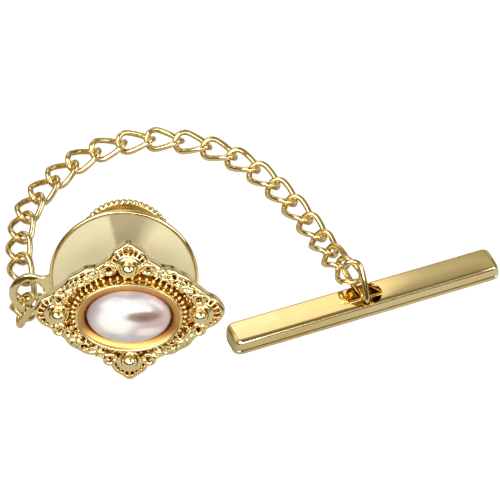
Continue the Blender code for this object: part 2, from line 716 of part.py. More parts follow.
def bar_shell(gold, frame):
    """The toggle bar's shell: rounded ends, an oblong hole on top, a channel from below."""
    half = BAR_LENGTH / 2
    stations = [(inset - half, scale) for inset, scale in BAR_END_STATIONS]
    stations += [(-x, s) for x, s in reversed(stations)]
    loops = [[(x, y, z) for y, z in bar_section(scale)] for x, scale in stations]
    shell = add_object("bar_shell", loops_to_bmesh(loops, closed=False), gold, frame)
    straight = BAR_HOLE_LENGTH - BAR_HOLE_WIDTH
    hole = []
    for z in (0.4, 2.0):
        loop = []
        for side in (1, -1):
            for i in range(11):
                turn = math.radians(-90 + 180 * i / 10)
                x = side * (straight / 2 + BAR_HOLE_WIDTH / 2 * math.cos(turn))
                loop.append((x, side * BAR_HOLE_WIDTH / 2 * math.sin(turn), z))
        hole.append(loop)
    slot_width = 2 * (PIN_RADIUS + RUNNING_GAP)
    slot_top = PIN_HEIGHT + PIN_RADIUS + RUNNING_GAP
    channel = block(BAR_CHANNEL_LENGTH, BAR_CHANNEL_WIDTH, -1.0, BAR_CHANNEL_TOP)
    slot = block(PIN_LENGTH + 2 * RUNNING_GAP, slot_width, 0.5, slot_top)
    bmesh.ops.translate(slot, vec=(0, PIN_OFFSET, 0), verts=slot.verts)
    cuts = {"bar_channel": channel, "bar_hole": loops_to_bmesh(hole, closed=False),
            "pin_slot": slot}
    for name, bm in cuts.items():
        combine(shell, add_object(name, bm, gold, frame), "DIFFERENCE")


def block(length, width, bottom, top):
    bm = bmesh.new()
    bmesh.ops.create_cube(bm, size=1.0)
    bmesh.ops.scale(bm, vec=(length, width, top - bottom), verts=bm.verts)
    bmesh.ops.translate(bm, vec=(0, 0, (top + bottom) / 2), verts=bm.verts)
    return bm


def bar_back_plate(gold, frame):
    """The strip that closes the channel, flush with the bar's flat underside."""
    plate = block(BAR_CHANNEL_LENGTH - 0.06, BAR_CHANNEL_WIDTH - 0.06, 0.0, BAR_PLATE)
    add_object("bar_back_plate", plate, gold, frame)


def bar_retaining_pin(gold, frame):
    """The pin along the bar, under its hole, that the bar link hooks round."""
    bm = turned([(PIN_RADIUS, -PIN_LENGTH / 2), (PIN_RADIUS, PIN_LENGTH / 2)], 12, closed=False)
    pin = add_object("bar_retaining_pin", bm, gold, frame, (0, PIN_OFFSET, PIN_HEIGHT))
    pin.rotation_euler = (0, math.radians(90), 0)


# ---------------------------------------------------------------- assembly


def centre_on_origin(table):
    """Shifts everything so that the middle of the box round it stands on the origin."""
    bpy.context.view_layer.update()
    depsgraph = bpy.context.evaluated_depsgraph_get()
    low, high = Vector((1e9,) * 3), Vector((-1e9,) * 3)
    for obj in bpy.context.scene.objects:
        if obj.type != "MESH" or obj.hide_render:
            continue
        seen = obj.evaluated_get(depsgraph)
        for vertex in seen.data.vertices:
            spot = seen.matrix_world @ vertex.co
            low = Vector(map(min, low, spot))
            high = Vector(map(max, high, spot))
    table.location = (-(low.x + high.x) / 2, -(low.y + high.y) / 2, -low.z)
    bpy.context.view_layer.update()


def build():
    clear_scene()
    gold = material("polished_gold", (0.93, 0.76, 0.36), 0.16, 1.0)
    spun = material("spun_gold", (0.93, 0.8, 0.45), 0.3, 1.0)
    inner = material("inner_brass", (0.78, 0.6, 0.28), 0.35, 1.0)
    steel = material("steel", (0.7, 0.7, 0.72), 0.25, 1.0)
    pearl = material("pearl", (0.88, 0.83, 0.83), 0.12, 0.0)
    glue = material("cement", (0.85, 0.82, 0.74), 0.6, 0.0)

    table = empty("table")
    lean = math.radians(90) - LEAN
    clutch = empty("clutch_axis", (0, 0, DISC_CENTRE_HEIGHT), (lean, 0, 0), table)
    clutch_pose = Matrix.Translation((0, 0, DISC_CENTRE_HEIGHT)) @ Matrix.Rotation(lean, 4, "X")
    yaw = math.radians(BAR_YAW)
    bar = empty("bar_axis", (*BAR_CENTRE, 0), (0, 0, yaw), table)
    bar_pin = Vector((*BAR_CENTRE, PIN_HEIGHT))
    bar_pin += Vector((-math.sin(yaw), math.cos(yaw), 0)) * PIN_OFFSET

    clutch_disc(spun, clutch)
    clutch_housing(gold, clutch)
    housing_cap(gold, clutch)
    locking_spring(steel, clutch)
    ball_cage(inner, clutch)
    lock_balls(steel, clutch)
    pull_knob(gold, clutch)

    tack_post(steel, clutch)
    post_pad(gold, clutch)
    ornament_frame(gold, clutch)
    bezel_cup(gold, clutch)
    cement_bed(glue, clutch)
    pearl_cabochon(pearl, clutch)

    build_chain(gold, table, clutch_pose, bar_pin)

    bar_shell(gold, bar)
    bar_back_plate(gold, bar)
    bar_retaining_pin(gold, bar)
    centre_on_origin(table)


build()
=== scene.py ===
"""The looks of the tie tack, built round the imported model: polished and spun gold plate, a cast
filigree head with a pearl cabochon, a curb chain of round wire and a hollow toggle bar.

Meshes are made in millimetres in a piece's own frame and stored in metres. The frames come from
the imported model: the pin axis, the bar's axis and each link are read from its joints and nodes.
"""
import json
import math

import bmesh
import bpy
import numpy as np
from mathutils import Matrix, Vector


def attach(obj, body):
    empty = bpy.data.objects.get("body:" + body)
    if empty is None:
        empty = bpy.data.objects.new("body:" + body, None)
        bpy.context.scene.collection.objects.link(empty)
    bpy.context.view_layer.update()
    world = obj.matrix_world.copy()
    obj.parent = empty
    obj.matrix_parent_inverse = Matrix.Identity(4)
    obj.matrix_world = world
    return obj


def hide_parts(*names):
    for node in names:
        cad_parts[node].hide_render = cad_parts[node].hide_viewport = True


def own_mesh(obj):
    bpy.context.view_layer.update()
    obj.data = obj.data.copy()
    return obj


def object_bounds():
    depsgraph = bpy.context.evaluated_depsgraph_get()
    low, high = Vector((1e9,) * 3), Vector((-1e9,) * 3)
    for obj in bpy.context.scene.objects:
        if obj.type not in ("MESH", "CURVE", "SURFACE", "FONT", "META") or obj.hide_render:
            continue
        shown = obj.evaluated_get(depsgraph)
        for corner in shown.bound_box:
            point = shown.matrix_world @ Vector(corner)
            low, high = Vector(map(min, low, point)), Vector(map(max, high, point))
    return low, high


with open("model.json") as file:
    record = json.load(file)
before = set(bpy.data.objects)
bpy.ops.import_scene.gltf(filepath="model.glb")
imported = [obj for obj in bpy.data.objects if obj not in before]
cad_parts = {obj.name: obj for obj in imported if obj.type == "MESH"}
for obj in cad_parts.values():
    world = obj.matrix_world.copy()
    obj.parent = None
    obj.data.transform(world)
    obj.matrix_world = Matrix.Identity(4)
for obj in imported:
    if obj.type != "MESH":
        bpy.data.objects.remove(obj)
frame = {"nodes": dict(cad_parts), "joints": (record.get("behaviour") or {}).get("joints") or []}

CAD_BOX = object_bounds()
MM = 0.001

# --- clutch, in millimetres; forward along the pin is positive ---
POST_HOLE_RADIUS = 0.62
DISC_SHEET = 0.42
DISC_DISH = 0.55
EAR_RADIUS = 1.58
EAR_HOLE_RADIUS = 0.97
EAR_THICKNESS = 0.38
EAR_PLANE = -0.32
EAR_REACH = 7.03
EAR_ANGLE = 191.5
EAR_FILLET = 0.75
KNOB_TEETH = 47
KNOB_TOOTH_DEPTH = 0.15
DISC_EDGE = 0.29
KNOB_EDGE = 0.2
BARREL_BORE = 2.12
CAP_HOLE = 0.99
KNOB_HOLE = 0.97
BALL_GROOVE = -1.95
SPRING_TURNS = 4

# --- head ---
BORDER_WIDTH = 0.36
FIELD_DROP = 0.42
PLATE_THICKNESS = 0.9
BACK_HOLLOW = 0.45
SEAT_OVERLAP = 0.3
STONE_INSET = (0.34, 0.2)
BALL_RADIUS = 0.56
BALL_PLANE = 6.1
SIDE_BALL = 5.15
TOP_BALL = 3.75
BEAD_RING = (4.08, 2.96)
BEAD_COUNT = 48
BEAD_SIZE = (0.19, 0.15, 0.22)
BEAD_SLANT = 0.35
GRAIN_SPACING = 0.36
OUTLINE_LOBES = 28
OUTLINE_WAVE = 0.06
CAST_VOXEL = 0.045
# a quarter of the plate's outline, from the right tip round to the top tip
PLATE_QUARTER = (
    (6.95, 0.0), (6.6, 0.8), (5.7, 1.45), (5.0, 2.0), (4.35, 2.75), (3.3, 3.4),
    (2.3, 3.7), (1.65, 4.15), (1.0, 4.95), (0.0, 5.55),
)
# the middle of the scrollwork in one quarter, from the top volute round to the side volute
SCROLL_ROW = ((1.75, 3.3), (2.3, 3.05), (3.0, 2.75), (3.6, 2.32), (4.15, 1.9), (4.6, 1.5))
SCROLL_COUNT = 8

# the nacre's clouds, its rose tints and its painted light: a painted highlight in white at the left
# and top, painted shade in grey-mauve at the upper left and a painted reflection, a brown smear
# right of the middle; middle and reach in millimetres, tint, strength
NACRE_TINTS_AND_PAINTED_LIGHT = (
    ((-1.6, 1.6), (2.2, 1.0), (0.44, 0.40, 0.44), 0.9),
    ((0.1, -1.5), (3.2, 0.8), (0.62, 0.62, 0.72), 0.8),
    ((-0.9, 0.2), (2.2, 1.6), (0.98, 0.98, 1.0), 1.0),
    ((0.5, 1.3), (1.7, 0.7), (0.9, 0.88, 0.94), 0.8),
    ((1.9, 0.1), (1.5, 1.1), (0.58, 0.40, 0.40), 0.8),
    ((1.05, 0.5), (1.9, 0.62), (0.24, 0.13, 0.10), 0.95),
    ((1.5, -0.8), (1.5, 0.6), (1.0, 0.93, 0.93), 0.7),
)

# --- tones; a stop is a place on the ramp and a colour ---
BUMP_DISTANCE = 0.00002
# how ragged the edges of the disc's painted sheen are
PAINTED_SHEEN_RAGGEDNESS = 0.16
CREAM, KHAKI = (1.0, 0.94, 0.66), (0.55, 0.49, 0.33)
# the disc's painted sheen, a painted reflection laid in its colour: degrees from its middle line,
# and the colour there
PAINTED_SHEEN_EDGES = ((-34, CREAM), (-17, KHAKI), (10, KHAKI), (13, CREAM))
# the cast head's colour by height: gold at the crests, painted shade of amber and near black in the
# hollows
CAST_PAINTED_SHADE_TONES = (
    (0.1, (0.13, 0.045, 0.01)), (0.2, (0.58, 0.26, 0.055)), (0.44, (0.92, 0.64, 0.26)),
    (0.75, (0.95, 0.82, 0.48)),
)
# the cove's colour by height: amber above, painted shade of red-brown and near black at its foot
COVE_AMBER_AND_PAINTED_SHADE_TONES = (
    (0.0, (0.10, 0.02, 0.005)), (0.35, (0.34, 0.09, 0.02)), (0.55, (0.72, 0.36, 0.1)),
    (1.0, (0.86, 0.6, 0.25)),
)
NACRE_TONES = ((0.35, (0.42, 0.36, 0.38)), (0.5, (0.55, 0.48, 0.51)), (0.65, (0.68, 0.57, 0.57)))
STUDIO_TONES = (
    (0.0, (0.07, 0.05, 0.02)), (0.24, (0.08, 0.06, 0.025)), (0.42, (0.36, 0.31, 0.2)),
    (0.7, (0.52, 0.46, 0.33)), (0.8, (0.4, 0.35, 0.24)), (0.95, (0.16, 0.14, 0.09)),
)

# --- chain and bar ---
CURB_TWIST = -45.0
CURB_WIRE = 0.44
END_LINK_WIRE = 0.455
END_LINK_TWISTS = {"ear_link": -15.0, "bar_link": 35.0}
BAR_HOLE_WIDTH = 2.1
BAR_HOLE_LENGTH = 2.62
BAR_HOLE_SHIFT = 0.04
BAR_SEAM_HEIGHT = 0.52
BAR_CORNER = 0.3
BAR_CROWN = 0.05
COUNTERSINK = 0.12
# the bar's rounded end: how far from the tip, and how much the section shrinks there
BAR_END = ((0, 0.5), (0.03, 0.36), (0.1, 0.22), (0.22, 0.11), (0.38, 0.035), (0.6, 0.0), (2.0, 0.0))

# --- view and light ---
ELEVATION = 46.0
LENS = 370.0
CAMERA_DISTANCE = 0.3775
AIM = (-0.125, -4.846, 0.606)
PAPER_COLOUR = (0.50, 0.49, 0.45, 1)
PAPER_GLOW = 0.8
# each light's name, bearing, elevation, distance, size and power
LIGHTS = (
    ("key", -50, 55, 0.7, (0.6, 0.6), 3.6),
    ("front", 12, 32, 0.7, (0.6, 0.18), 1.9),
    ("back_low", 180, 13, 0.7, (0.8, 0.1), 0.22),
    ("right", 80, 35, 0.7, (0.3, 0.5), 1.2),
)
PANEL_POWER = 0.025
PANEL_COLOUR = (1.0, 0.9, 0.74)
PANEL_FROM_BAR = (-0.043, 0.112, 0.116)


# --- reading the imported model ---


JOINTS = {joint["name"]: joint for joint in frame["joints"]}


def pose_of(origin, x, y, z):
    turn = Matrix((x, y, z)).transposed().to_4x4()
    return Matrix.Translation(origin) @ turn


def node_points(node, pose):
    """A node's distinct points in a frame, in millimetres."""
    points = np.array([v.co for v in frame["nodes"][node].data.vertices], float)
    inverse = np.array(pose.inverted())
    local = (points @ inverse[:3, :3].T + inverse[:3, 3]) / MM
    return np.unique(local.round(4), axis=0)


def node_box(node, pose):
    points = node_points(node, pose)
    return Vector(points.min(0)), Vector(points.max(0))


def clutch_frame():
    """Z forward along the pin, X across, and the front of the disc's rim at zero."""
    spin = JOINTS["head_spin"]
    forward = Vector(spin["axis"]).normalized()
    across = Vector((1, 0, 0))
    pose = pose_of(Vector(spin["pos_m"]), across, forward.cross(across), forward)
    front = node_box("clutch_disc", pose)[1].z
    return pose @ Matrix.Translation((0, 0, front * MM))


def bar_frame():
    """X along the bar, Z up, at the middle of its underside."""
    across = Vector(JOINTS["bar_toggle"]["axis"]).normalized()
    if across.y < 0:
        across.negate()
    up = Vector((0, 0, 1))
    pose = pose_of(Vector((0, 0, 0)), across.cross(up), across, up)
    low, high = node_box("bar_shell", pose)
    middle = (low + high) / 2
    return pose @ Matrix.Translation((middle.x * MM, middle.y * MM, low.z * MM))


def link_frame(node):
    """A link's own frame, from how its points spread: X is its length and Z its thin way."""
    points = node_points(node, Matrix.Identity(4))
    centre = points.mean(0)
    spread = np.linalg.eigh(np.cov((points - centre).T))[1]
    x, y = Vector(spread[:, 2]), Vector(spread[:, 1])
    return pose_of(Vector(centre) * MM, x, y, x.cross(y))


# --- mesh helpers ---


def bridge(bm, loops, closed):
    """Joins equal loops of points with quads; closed also joins the last loop to the first."""
    rings = [[bm.verts.new(point) for point in loop] for loop in loops]
    pairs = list(zip(rings, rings[1:]))
    if closed:
        pairs.append((rings[-1], rings[0]))
    for one, other in pairs:
        count = len(one)
        for i in range(count):
            j = (i + 1) % count
            bm.faces.new((one[i], one[j], other[j], other[i]))
    return rings


def skin(loops, closed):
    """Skins equal closed loops; closed joins the last loop to the first, otherwise it is capped."""
    bm = bmesh.new()
    rings = bridge(bm, loops, closed)
    if not closed:
        bm.faces.new(rings[0])
        bm.faces.new(rings[-1])
    return bm


def polar(turn, radius=1.0, height=0.0):
    return Vector((radius * math.cos(turn), radius * math.sin(turn), height))


def wire_ring(point, tangent, up, radius, sides):
    """The points of a wire's section round its centre line."""
    across = (up - tangent * up.dot(tangent)).normalized()
    side = tangent.cross(across)
    turns = [math.tau * k / sides for k in range(sides)]
    return [point + radius * (math.cos(t) * across + math.sin(t) * side) for t in turns]


def oval(half_x, half_y, height, segments):
    turns = [math.tau * i / segments for i in range(segments)]
    return [(half_x * math.cos(t), half_y * math.sin(t), height) for t in turns]


def softened(profile, radius, steps=4, closed=True):
    """The profile with its corners rounded; a pair's third number is its own radius."""
    count = len(profile)
    out = []
    for i, point in enumerate(profile):
        here = Vector(point[:2])
        if not closed and i in (0, count - 1):
            out.append(here)
            continue
        before, after = Vector(profile[i - 1][:2]), Vector(profile[(i + 1) % count][:2])
        own = point[2] if len(point) > 2 else radius
        back = min(own, 0.48 * (before - here).length)
        ahead = min(own, 0.48 * (after - here).length)
        start = here + (before - here).normalized() * back
        end = here + (after - here).normalized() * ahead
        for k in range(steps + 1):
            t = k / steps
            out.append((1 - t) ** 2 * start + 2 * t * (1 - t) * here + t * t * end)
    return out


def turned(profile, radius=0.05, segments=144, closed=True):
    """A lathe-turned piece from a softened profile of (radius, height)."""
    outline = softened(profile, radius, closed=closed)
    return skin([oval(p.x, p.x, p.y, segments) for p in outline], closed)


def smooth_curve(points, steps, closed):
    """A Catmull-Rom curve through the points."""
    given = [Vector(p) for p in points]
    count = len(given)
    if closed:
        spans = [[given[(i + k) % count] for k in (-1, 0, 1, 2)] for i in range(count)]
    else:
        ends = [2 * given[0] - given[1], *given, 2 * given[-1] - given[-2]]
        spans = list(zip(ends, ends[1:], ends[2:], ends[3:]))
    out = []
    for a, b, c, d in spans:
        for s in range(steps):
            t = s / steps
            out.append(0.5 * (2 * b + (c - a) * t + (2 * a - 5 * b + 4 * c - d) * t * t
                              + (3 * b - a - 3 * c + d) * t ** 3))
    if not closed:
        out.append(given[-1])
    return out


def add_tube(bm, points, radii, sides=10, closed=False):
    """A round wire along the points."""
    count = len(points)
    loops = []
    for i, point in enumerate(points):
        if closed:
            tangent = points[(i + 1) % count] - points[i - 1]
        else:
            tangent = points[min(i + 1, count - 1)] - points[max(i - 1, 0)]
        tangent.normalize()
        radius = radii[i] if isinstance(radii, (list, tuple)) else radii
        loops.append(wire_ring(point, tangent, Vector((0, 0, 1)), radius, sides))
    rings = bridge(bm, loops, closed)
    if not closed:
        bm.faces.new(list(reversed(rings[0])))
        bm.faces.new(rings[-1])


def add_bead(bm, centre, radii, turn=0.0, detail=2):
    """A ball or an egg, turned about Z."""
    made = bmesh.ops.create_icosphere(bm, subdivisions=detail, radius=1.0)
    scale = Matrix.Diagonal((*radii, 1.0))
    place = Matrix.Translation(centre) @ Matrix.Rotation(turn, 4, "Z") @ scale
    bmesh.ops.transform(bm, matrix=place, verts=made["verts"])


def add_object(name, data):
    made = bpy.data.objects.new(name, data)
    bpy.context.scene.collection.objects.link(made)
    return made


def in_millimetres(name, bm, modifiers=()):
    """A mesh from a bmesh after modifiers that need ordinary sizes to work well."""
    bmesh.ops.recalc_face_normals(bm, faces=bm.faces)
    mesh = bpy.data.meshes.new(name)
    bm.to_mesh(mesh)
    bm.free()
    if not modifiers:
        return mesh
    work = add_object(name + "_work", mesh)
    for kind, settings in modifiers:
        modifier = work.modifiers.new(kind, kind)
        for key, value in settings.items():
            setattr(modifier, key, value)
    bpy.context.view_layer.update()
    seen = work.evaluated_get(bpy.context.evaluated_depsgraph_get())
    done = bpy.data.meshes.new_from_object(seen)
    bpy.data.objects.remove(work)
    return done


def place(name, shape, pose, body, finish, stands_for=(), slot="polished_gold", sharp=40.0):
    """Puts a mesh or bmesh that is in millimetres into its frame as a piece on its body."""
    mesh = shape if isinstance(shape, bpy.types.Mesh) else in_millimetres(name, shape)
    mesh.transform(Matrix.Scale(MM, 4))
    mesh.shade_smooth()
    if sharp < 180:
        mesh.set_sharp_from_angle(angle=math.radians(sharp))
    mesh.materials.clear()
    mesh.materials.append(finish)
    made = add_object(name, mesh)
    made.matrix_world = pose
    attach(made, body)
    if stands_for:
        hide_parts(*stands_for)
    return made


def paint(made, finish, within):
    """Gives another finish to the faces that pass a test of their middle (mm) and normal."""
    made.data.materials.append(finish)
    index = len(made.data.materials) - 1
    for face in made.data.polygons:
        if within(face.center / MM, face.normal):
            face.material_index = index


# --- materials ---


def new_material(name, **levels):
    """A material with its surface's inputs by name, a _ standing for a space."""
    made = bpy.data.materials.new(name)
    made.use_nodes = True
    shader = made.node_tree.nodes["Principled BSDF"]
    for key, value in levels.items():
        shader.inputs[key.replace("_", " ")].default_value = value
    return made, made.node_tree, shader


def node(tree, kind, inputs=None, **settings):
    """A node with its settings; each input takes a value or another node's socket."""
    made = tree.nodes.new(kind)
    for key, value in settings.items():
        setattr(made, key, value)
    for key, value in (inputs or {}).items():
        if isinstance(value, bpy.types.NodeSocket):
            tree.links.new(value, made.inputs[key])
        else:
            made.inputs[key].default_value = value
    return made


def ramp(tree, source, stops, link_to=None):
    """A colour ramp from (position, colour) stops; a number stands for a grey."""
    made = node(tree, "ShaderNodeValToRGB", {"Fac": source})
    elements = made.color_ramp.elements
    while len(elements) < len(stops):
        elements.new(0.5)
    for element, (position, colour) in zip(elements, stops):
        element.position = position
        element.color = (colour,) * 3 + (1,) if isinstance(colour, float) else (*colour, 1)
    if link_to is not None:
        tree.links.new(made.outputs["Color"], link_to)
    return made.outputs["Color"]


def own_place(tree):
    """The shaded point in its piece's own frame."""
    return node(tree, "ShaderNodeTexCoord").outputs["Object"]


def noise(tree, where, scale, detail, stretch=None):
    if stretch:
        mapping = node(tree, "ShaderNodeMapping", {"Vector": where, "Scale": stretch})
        where = mapping.outputs["Vector"]
    made = node(tree, "ShaderNodeTexNoise", {"Vector": where, "Scale": scale, "Detail": detail})
    return made.outputs["Fac"]


def add_bump(tree, shader, height, strength, distance=BUMP_DISTANCE):
    lift = node(tree, "ShaderNodeBump",
                {"Height": height, "Strength": strength, "Distance": distance})
    tree.links.new(lift.outputs["Normal"], shader.inputs["Normal"])


def height_share(tree, where, low, high):
    """Goes from 0 to 1 between two heights in the piece's own frame, in millimetres."""
    apart = node(tree, "ShaderNodeSeparateXYZ", {"Vector": where})
    made = node(tree, "ShaderNodeMapRange",
                {"Value": apart.outputs["Z"], "From Min": low * MM, "From Max": high * MM})
    return made.outputs["Result"]


def blend(tree, factor, under, over, **settings):
    inputs = {"Factor": factor, 6: under, 7: over}
    return node(tree, "ShaderNodeMix", inputs, data_type="RGBA", **settings).outputs[2]


def gold_plate(name, light=(0.95, 0.82, 0.50), deep=(0.90, 0.73, 0.38), rough=(0.09, 0.16),
               grain=900.0, bump=0.04, stretch=(1, 1, 1)):
    """Polished gold plate: slow changes of tone, fine polishing marks and a varying gloss."""
    made, tree, shader = new_material(name, Metallic=1.0)
    where = own_place(tree)
    tone = noise(tree, where, 260.0, 3.0)
    ramp(tree, tone, [(0.35, deep), (0.62, light)], shader.inputs["Base Color"])
    marks = noise(tree, where, grain, 5.0, stretch)
    ramp(tree, marks, [(0.3, rough[0]), (0.7, rough[1])], shader.inputs["Roughness"])
    add_bump(tree, shader, marks, bump)
    return made


def spun_gold():
    """The lathe-spun disc: fine rings round the pin and gloss spread across them, with a painted
    sheen in its colour: darker khaki wedges up and down, a painted reflection of the rings there."""
    made, tree, shader = new_material("spun_gold_plate", Metallic=0.15, Anisotropic=0.85)
    where = node(tree, "ShaderNodeTexCoord").outputs["UV"]
    apart = node(tree, "ShaderNodeSeparateXYZ", {"Vector": where})
    rings = noise(tree, where, 90.0, 4.0, (1.0, 0.02, 1.0))
    streaks = noise(tree, where, 60.0, 4.0, (0.02, 1.0, 1.0))
    turn = node(tree, "ShaderNodeMath", {0: streaks, 1: PAINTED_SHEEN_RAGGEDNESS, 2: apart.outputs["Y"]},
                operation="MULTIPLY_ADD")
    level = node(tree, "ShaderNodeMapRange",
                 {"Value": turn.outputs["Value"], "From Min": -math.pi, "From Max": math.pi})
    # the painted sheen: khaki wedges up and down the disc, cream between, a painted reflection in
    # the base colour
    stops = [((middle + offset + 185) / 360, colour)
             for middle in (-90, 90) for offset, colour in PAINTED_SHEEN_EDGES]
    painted_sheen = ramp(tree, level.outputs["Result"], stops)
    tone = ramp(tree, rings, [(0.3, (0.88, 0.87, 0.84)), (0.7, (1.0, 1.0, 1.0))])
    colour = blend(tree, 1.0, painted_sheen, tone, blend_type="MULTIPLY")
    tree.links.new(colour, shader.inputs["Base Color"])
    ramp(tree, rings, [(0.3, 0.4), (0.7, 0.5)], shader.inputs["Roughness"])
    add_bump(tree, shader, rings, 0.08)
    tangent = node(tree, "ShaderNodeTangent", direction_type="UV_MAP")
    tree.links.new(tangent.outputs["Tangent"], shader.inputs["Tangent"])
    return made


def cast_gold(field, crest):
    """The cast head: polished at the crests, with painted shade in the hollows, where the colour
    darkens to amber and then near black towards the field.
    """
    made, tree, shader = new_material("cast_gold_plate", Metallic=1.0)
    where = own_place(tree)
    speckle = noise(tree, where, 1500.0, 3.0)
    inputs = {0: speckle, 1: 0.3, 2: height_share(tree, where, field, crest)}
    mixed = node(tree, "ShaderNodeMath", inputs, operation="MULTIPLY_ADD").outputs["Value"]
    # painted shade: darker towards the field, in the hollows between the features
    ramp(tree, mixed, CAST_PAINTED_SHADE_TONES, shader.inputs["Base Color"])
    ramp(tree, mixed, [(0.1, 0.26), (0.8, 0.1)], shader.inputs["Roughness"])
    add_bump(tree, shader, speckle, 0.06)
    return made


def cloud(tree, where, warp, colour, spot, spread, tint, strength):
    """Lays a soft oval cloud of a tint over a colour; sizes are in millimetres."""
    steps = (("SUBTRACT", (spot[0] * MM, spot[1] * MM, 0.0)),
             ("MULTIPLY", (1 / (spread[0] * MM), 1 / (spread[1] * MM), 0.0)),
             ("MULTIPLY_ADD", (0.5, 0.5, 0.0)),
             ("SUBTRACT", (0.25, 0.25, 0.0)))
    for operation, amount in steps:
        inputs = {0: where, 1: amount}
        if operation == "MULTIPLY_ADD":
            inputs = {0: warp, 1: amount, 2: where}
        where = node(tree, "ShaderNodeVectorMath", inputs, operation=operation).outputs["Vector"]
    fall = node(tree, "ShaderNodeTexGradient", {"Vector": where},
                gradient_type="QUADRATIC_SPHERE")
    amount = ramp(tree, fall.outputs["Fac"], [(0.0, 0.0), (0.25, strength * 0.8), (0.7, strength)])
    return blend(tree, amount, colour, (*tint, 1.0))


def amber_cove(deep, shallow):
    """The unpolished cove round the stone: amber above, with painted shade at its foot by the
    stone, where the colour darkens to red-brown and near black.
    """
    made, tree, shader = new_material("amber_cove", Metallic=1.0, Roughness=0.34)
    level = height_share(tree, own_place(tree), deep, shallow)
    ramp(tree, level, COVE_AMBER_AND_PAINTED_SHADE_TONES, shader.inputs["Base Color"])
    return made


def nacre():
    """Pearl: a white body with slow rose tints under a clear coat, and painted light laid over it
    as soft clouds: painted highlights, painted shade and a painted reflection.
    """
    made, tree, shader = new_material(
        "nacre", Roughness=0.28, Specular_IOR_Level=0.8, Coat_Weight=0.9, Coat_Roughness=0.12,
        Coat_IOR=1.6, Sheen_Weight=0.25, Sheen_Roughness=0.4, Subsurface_Weight=0.15,
        Subsurface_Scale=0.0004)
    where = own_place(tree)
    warp = node(tree, "ShaderNodeTexNoise", {"Vector": where, "Scale": 420.0, "Detail": 2.0})
    colour = ramp(tree, warp.outputs["Fac"], NACRE_TONES)
    # lays the rose tints and the painted highlights, painted shade and painted reflection over the
    # body
    for patch in NACRE_TINTS_AND_PAINTED_LIGHT:
        colour = cloud(tree, where, warp.outputs["Color"], colour, *patch)
    tree.links.new(colour, shader.inputs["Base Color"])
    add_bump(tree, shader, noise(tree, where, 2600.0, 2.0), 0.05, BUMP_DISTANCE / 2)
    return made


def cement():
    made, tree, shader = new_material("cement", Roughness=0.6)
    grains = noise(tree, own_place(tree), 1800.0, 4.0)
    ramp(tree, grains, [(0.3, (0.7, 0.66, 0.56)), (0.7, (0.86, 0.83, 0.74))],
         shader.inputs["Base Color"])
    return made


# --- clutch ---


def uv_round(mesh):
    """Maps U to the distance from the Z axis and V to the turn about it."""
    layer = mesh.uv_layers.new(name="round")
    for face in mesh.polygons:
        middle = math.atan2(face.center.y, face.center.x)
        for loop in face.loop_indices:
            point = mesh.vertices[mesh.loops[loop].vertex_index].co
            turn = math.atan2(point.y, point.x)
            turn -= math.tau * round((turn - middle) / math.tau)
            layer.data[loop].uv = (math.hypot(point.x, point.y) / MM, turn)


def ear_outline(disc_radius, inset):
    """The ear and its neck, seen along the pin: the rim's fillets run into a round eye."""
    rim = disc_radius - 0.25
    eye = EAR_RADIUS - inset
    fillet = EAR_FILLET + inset
    reach = EAR_REACH
    near, far = rim + fillet, eye + fillet
    lift = math.acos((near ** 2 + reach ** 2 - far ** 2) / (2 * near * reach))
    centre = Vector((near * math.cos(lift), near * math.sin(lift)))
    start = centre * (rim / near)
    end = Vector((reach, 0)) + (centre - Vector((reach, 0))) * (eye / far)
    first = math.atan2(*(start - centre).yx)
    last = math.atan2(*(end - centre).yx)
    last -= math.tau * round((last - first) / math.tau)
    points = []
    for k in range(13):
        turn = first + (last - first) * k / 12
        points.append(centre + fillet * Vector((math.cos(turn), math.sin(turn))))
    begin = math.atan2(end.y, end.x - reach)
    for k in range(1, 48):
        turn = begin * (1 - 2 * k / 48)
        points.append(Vector((reach + eye * math.cos(turn), eye * math.sin(turn))))
    points += [Vector((p.x, -p.y)) for p in reversed(points[:13])]
    return points


def make_disc(pose, finish, edge_finish):
    low, high = node_box("clutch_disc", pose)
    radius = high.y
    back = low.z
    profile = [
        (POST_HOLE_RADIUS, -DISC_DISH, 0.12), (2.0, -DISC_DISH + 0.03, 0.5), (4.55, -0.2, 0.25),
        (radius - 0.3, -0.06, 0.03), (radius - 0.24, -0.01, 0.04), (radius - 0.1, 0.0, 0.05),
        (radius, -0.12, 0.07), (radius, -0.26, 0.06),
        (radius - 0.2, -0.36, 0.07), (4.5, -0.17 - DISC_SHEET, 0.3), (2.0, back + 0.03, 0.5),
        (POST_HOLE_RADIUS, back, 0.12),
    ]
    made = place("spun_clutch_disc", turned(profile, segments=192), pose, "clutch", finish,
                 ["clutch_disc"], "spun_gold")
    uv_round(made.data)
    paint(made, edge_finish, lambda spot, _: spot.xy.length > radius - DISC_EDGE)


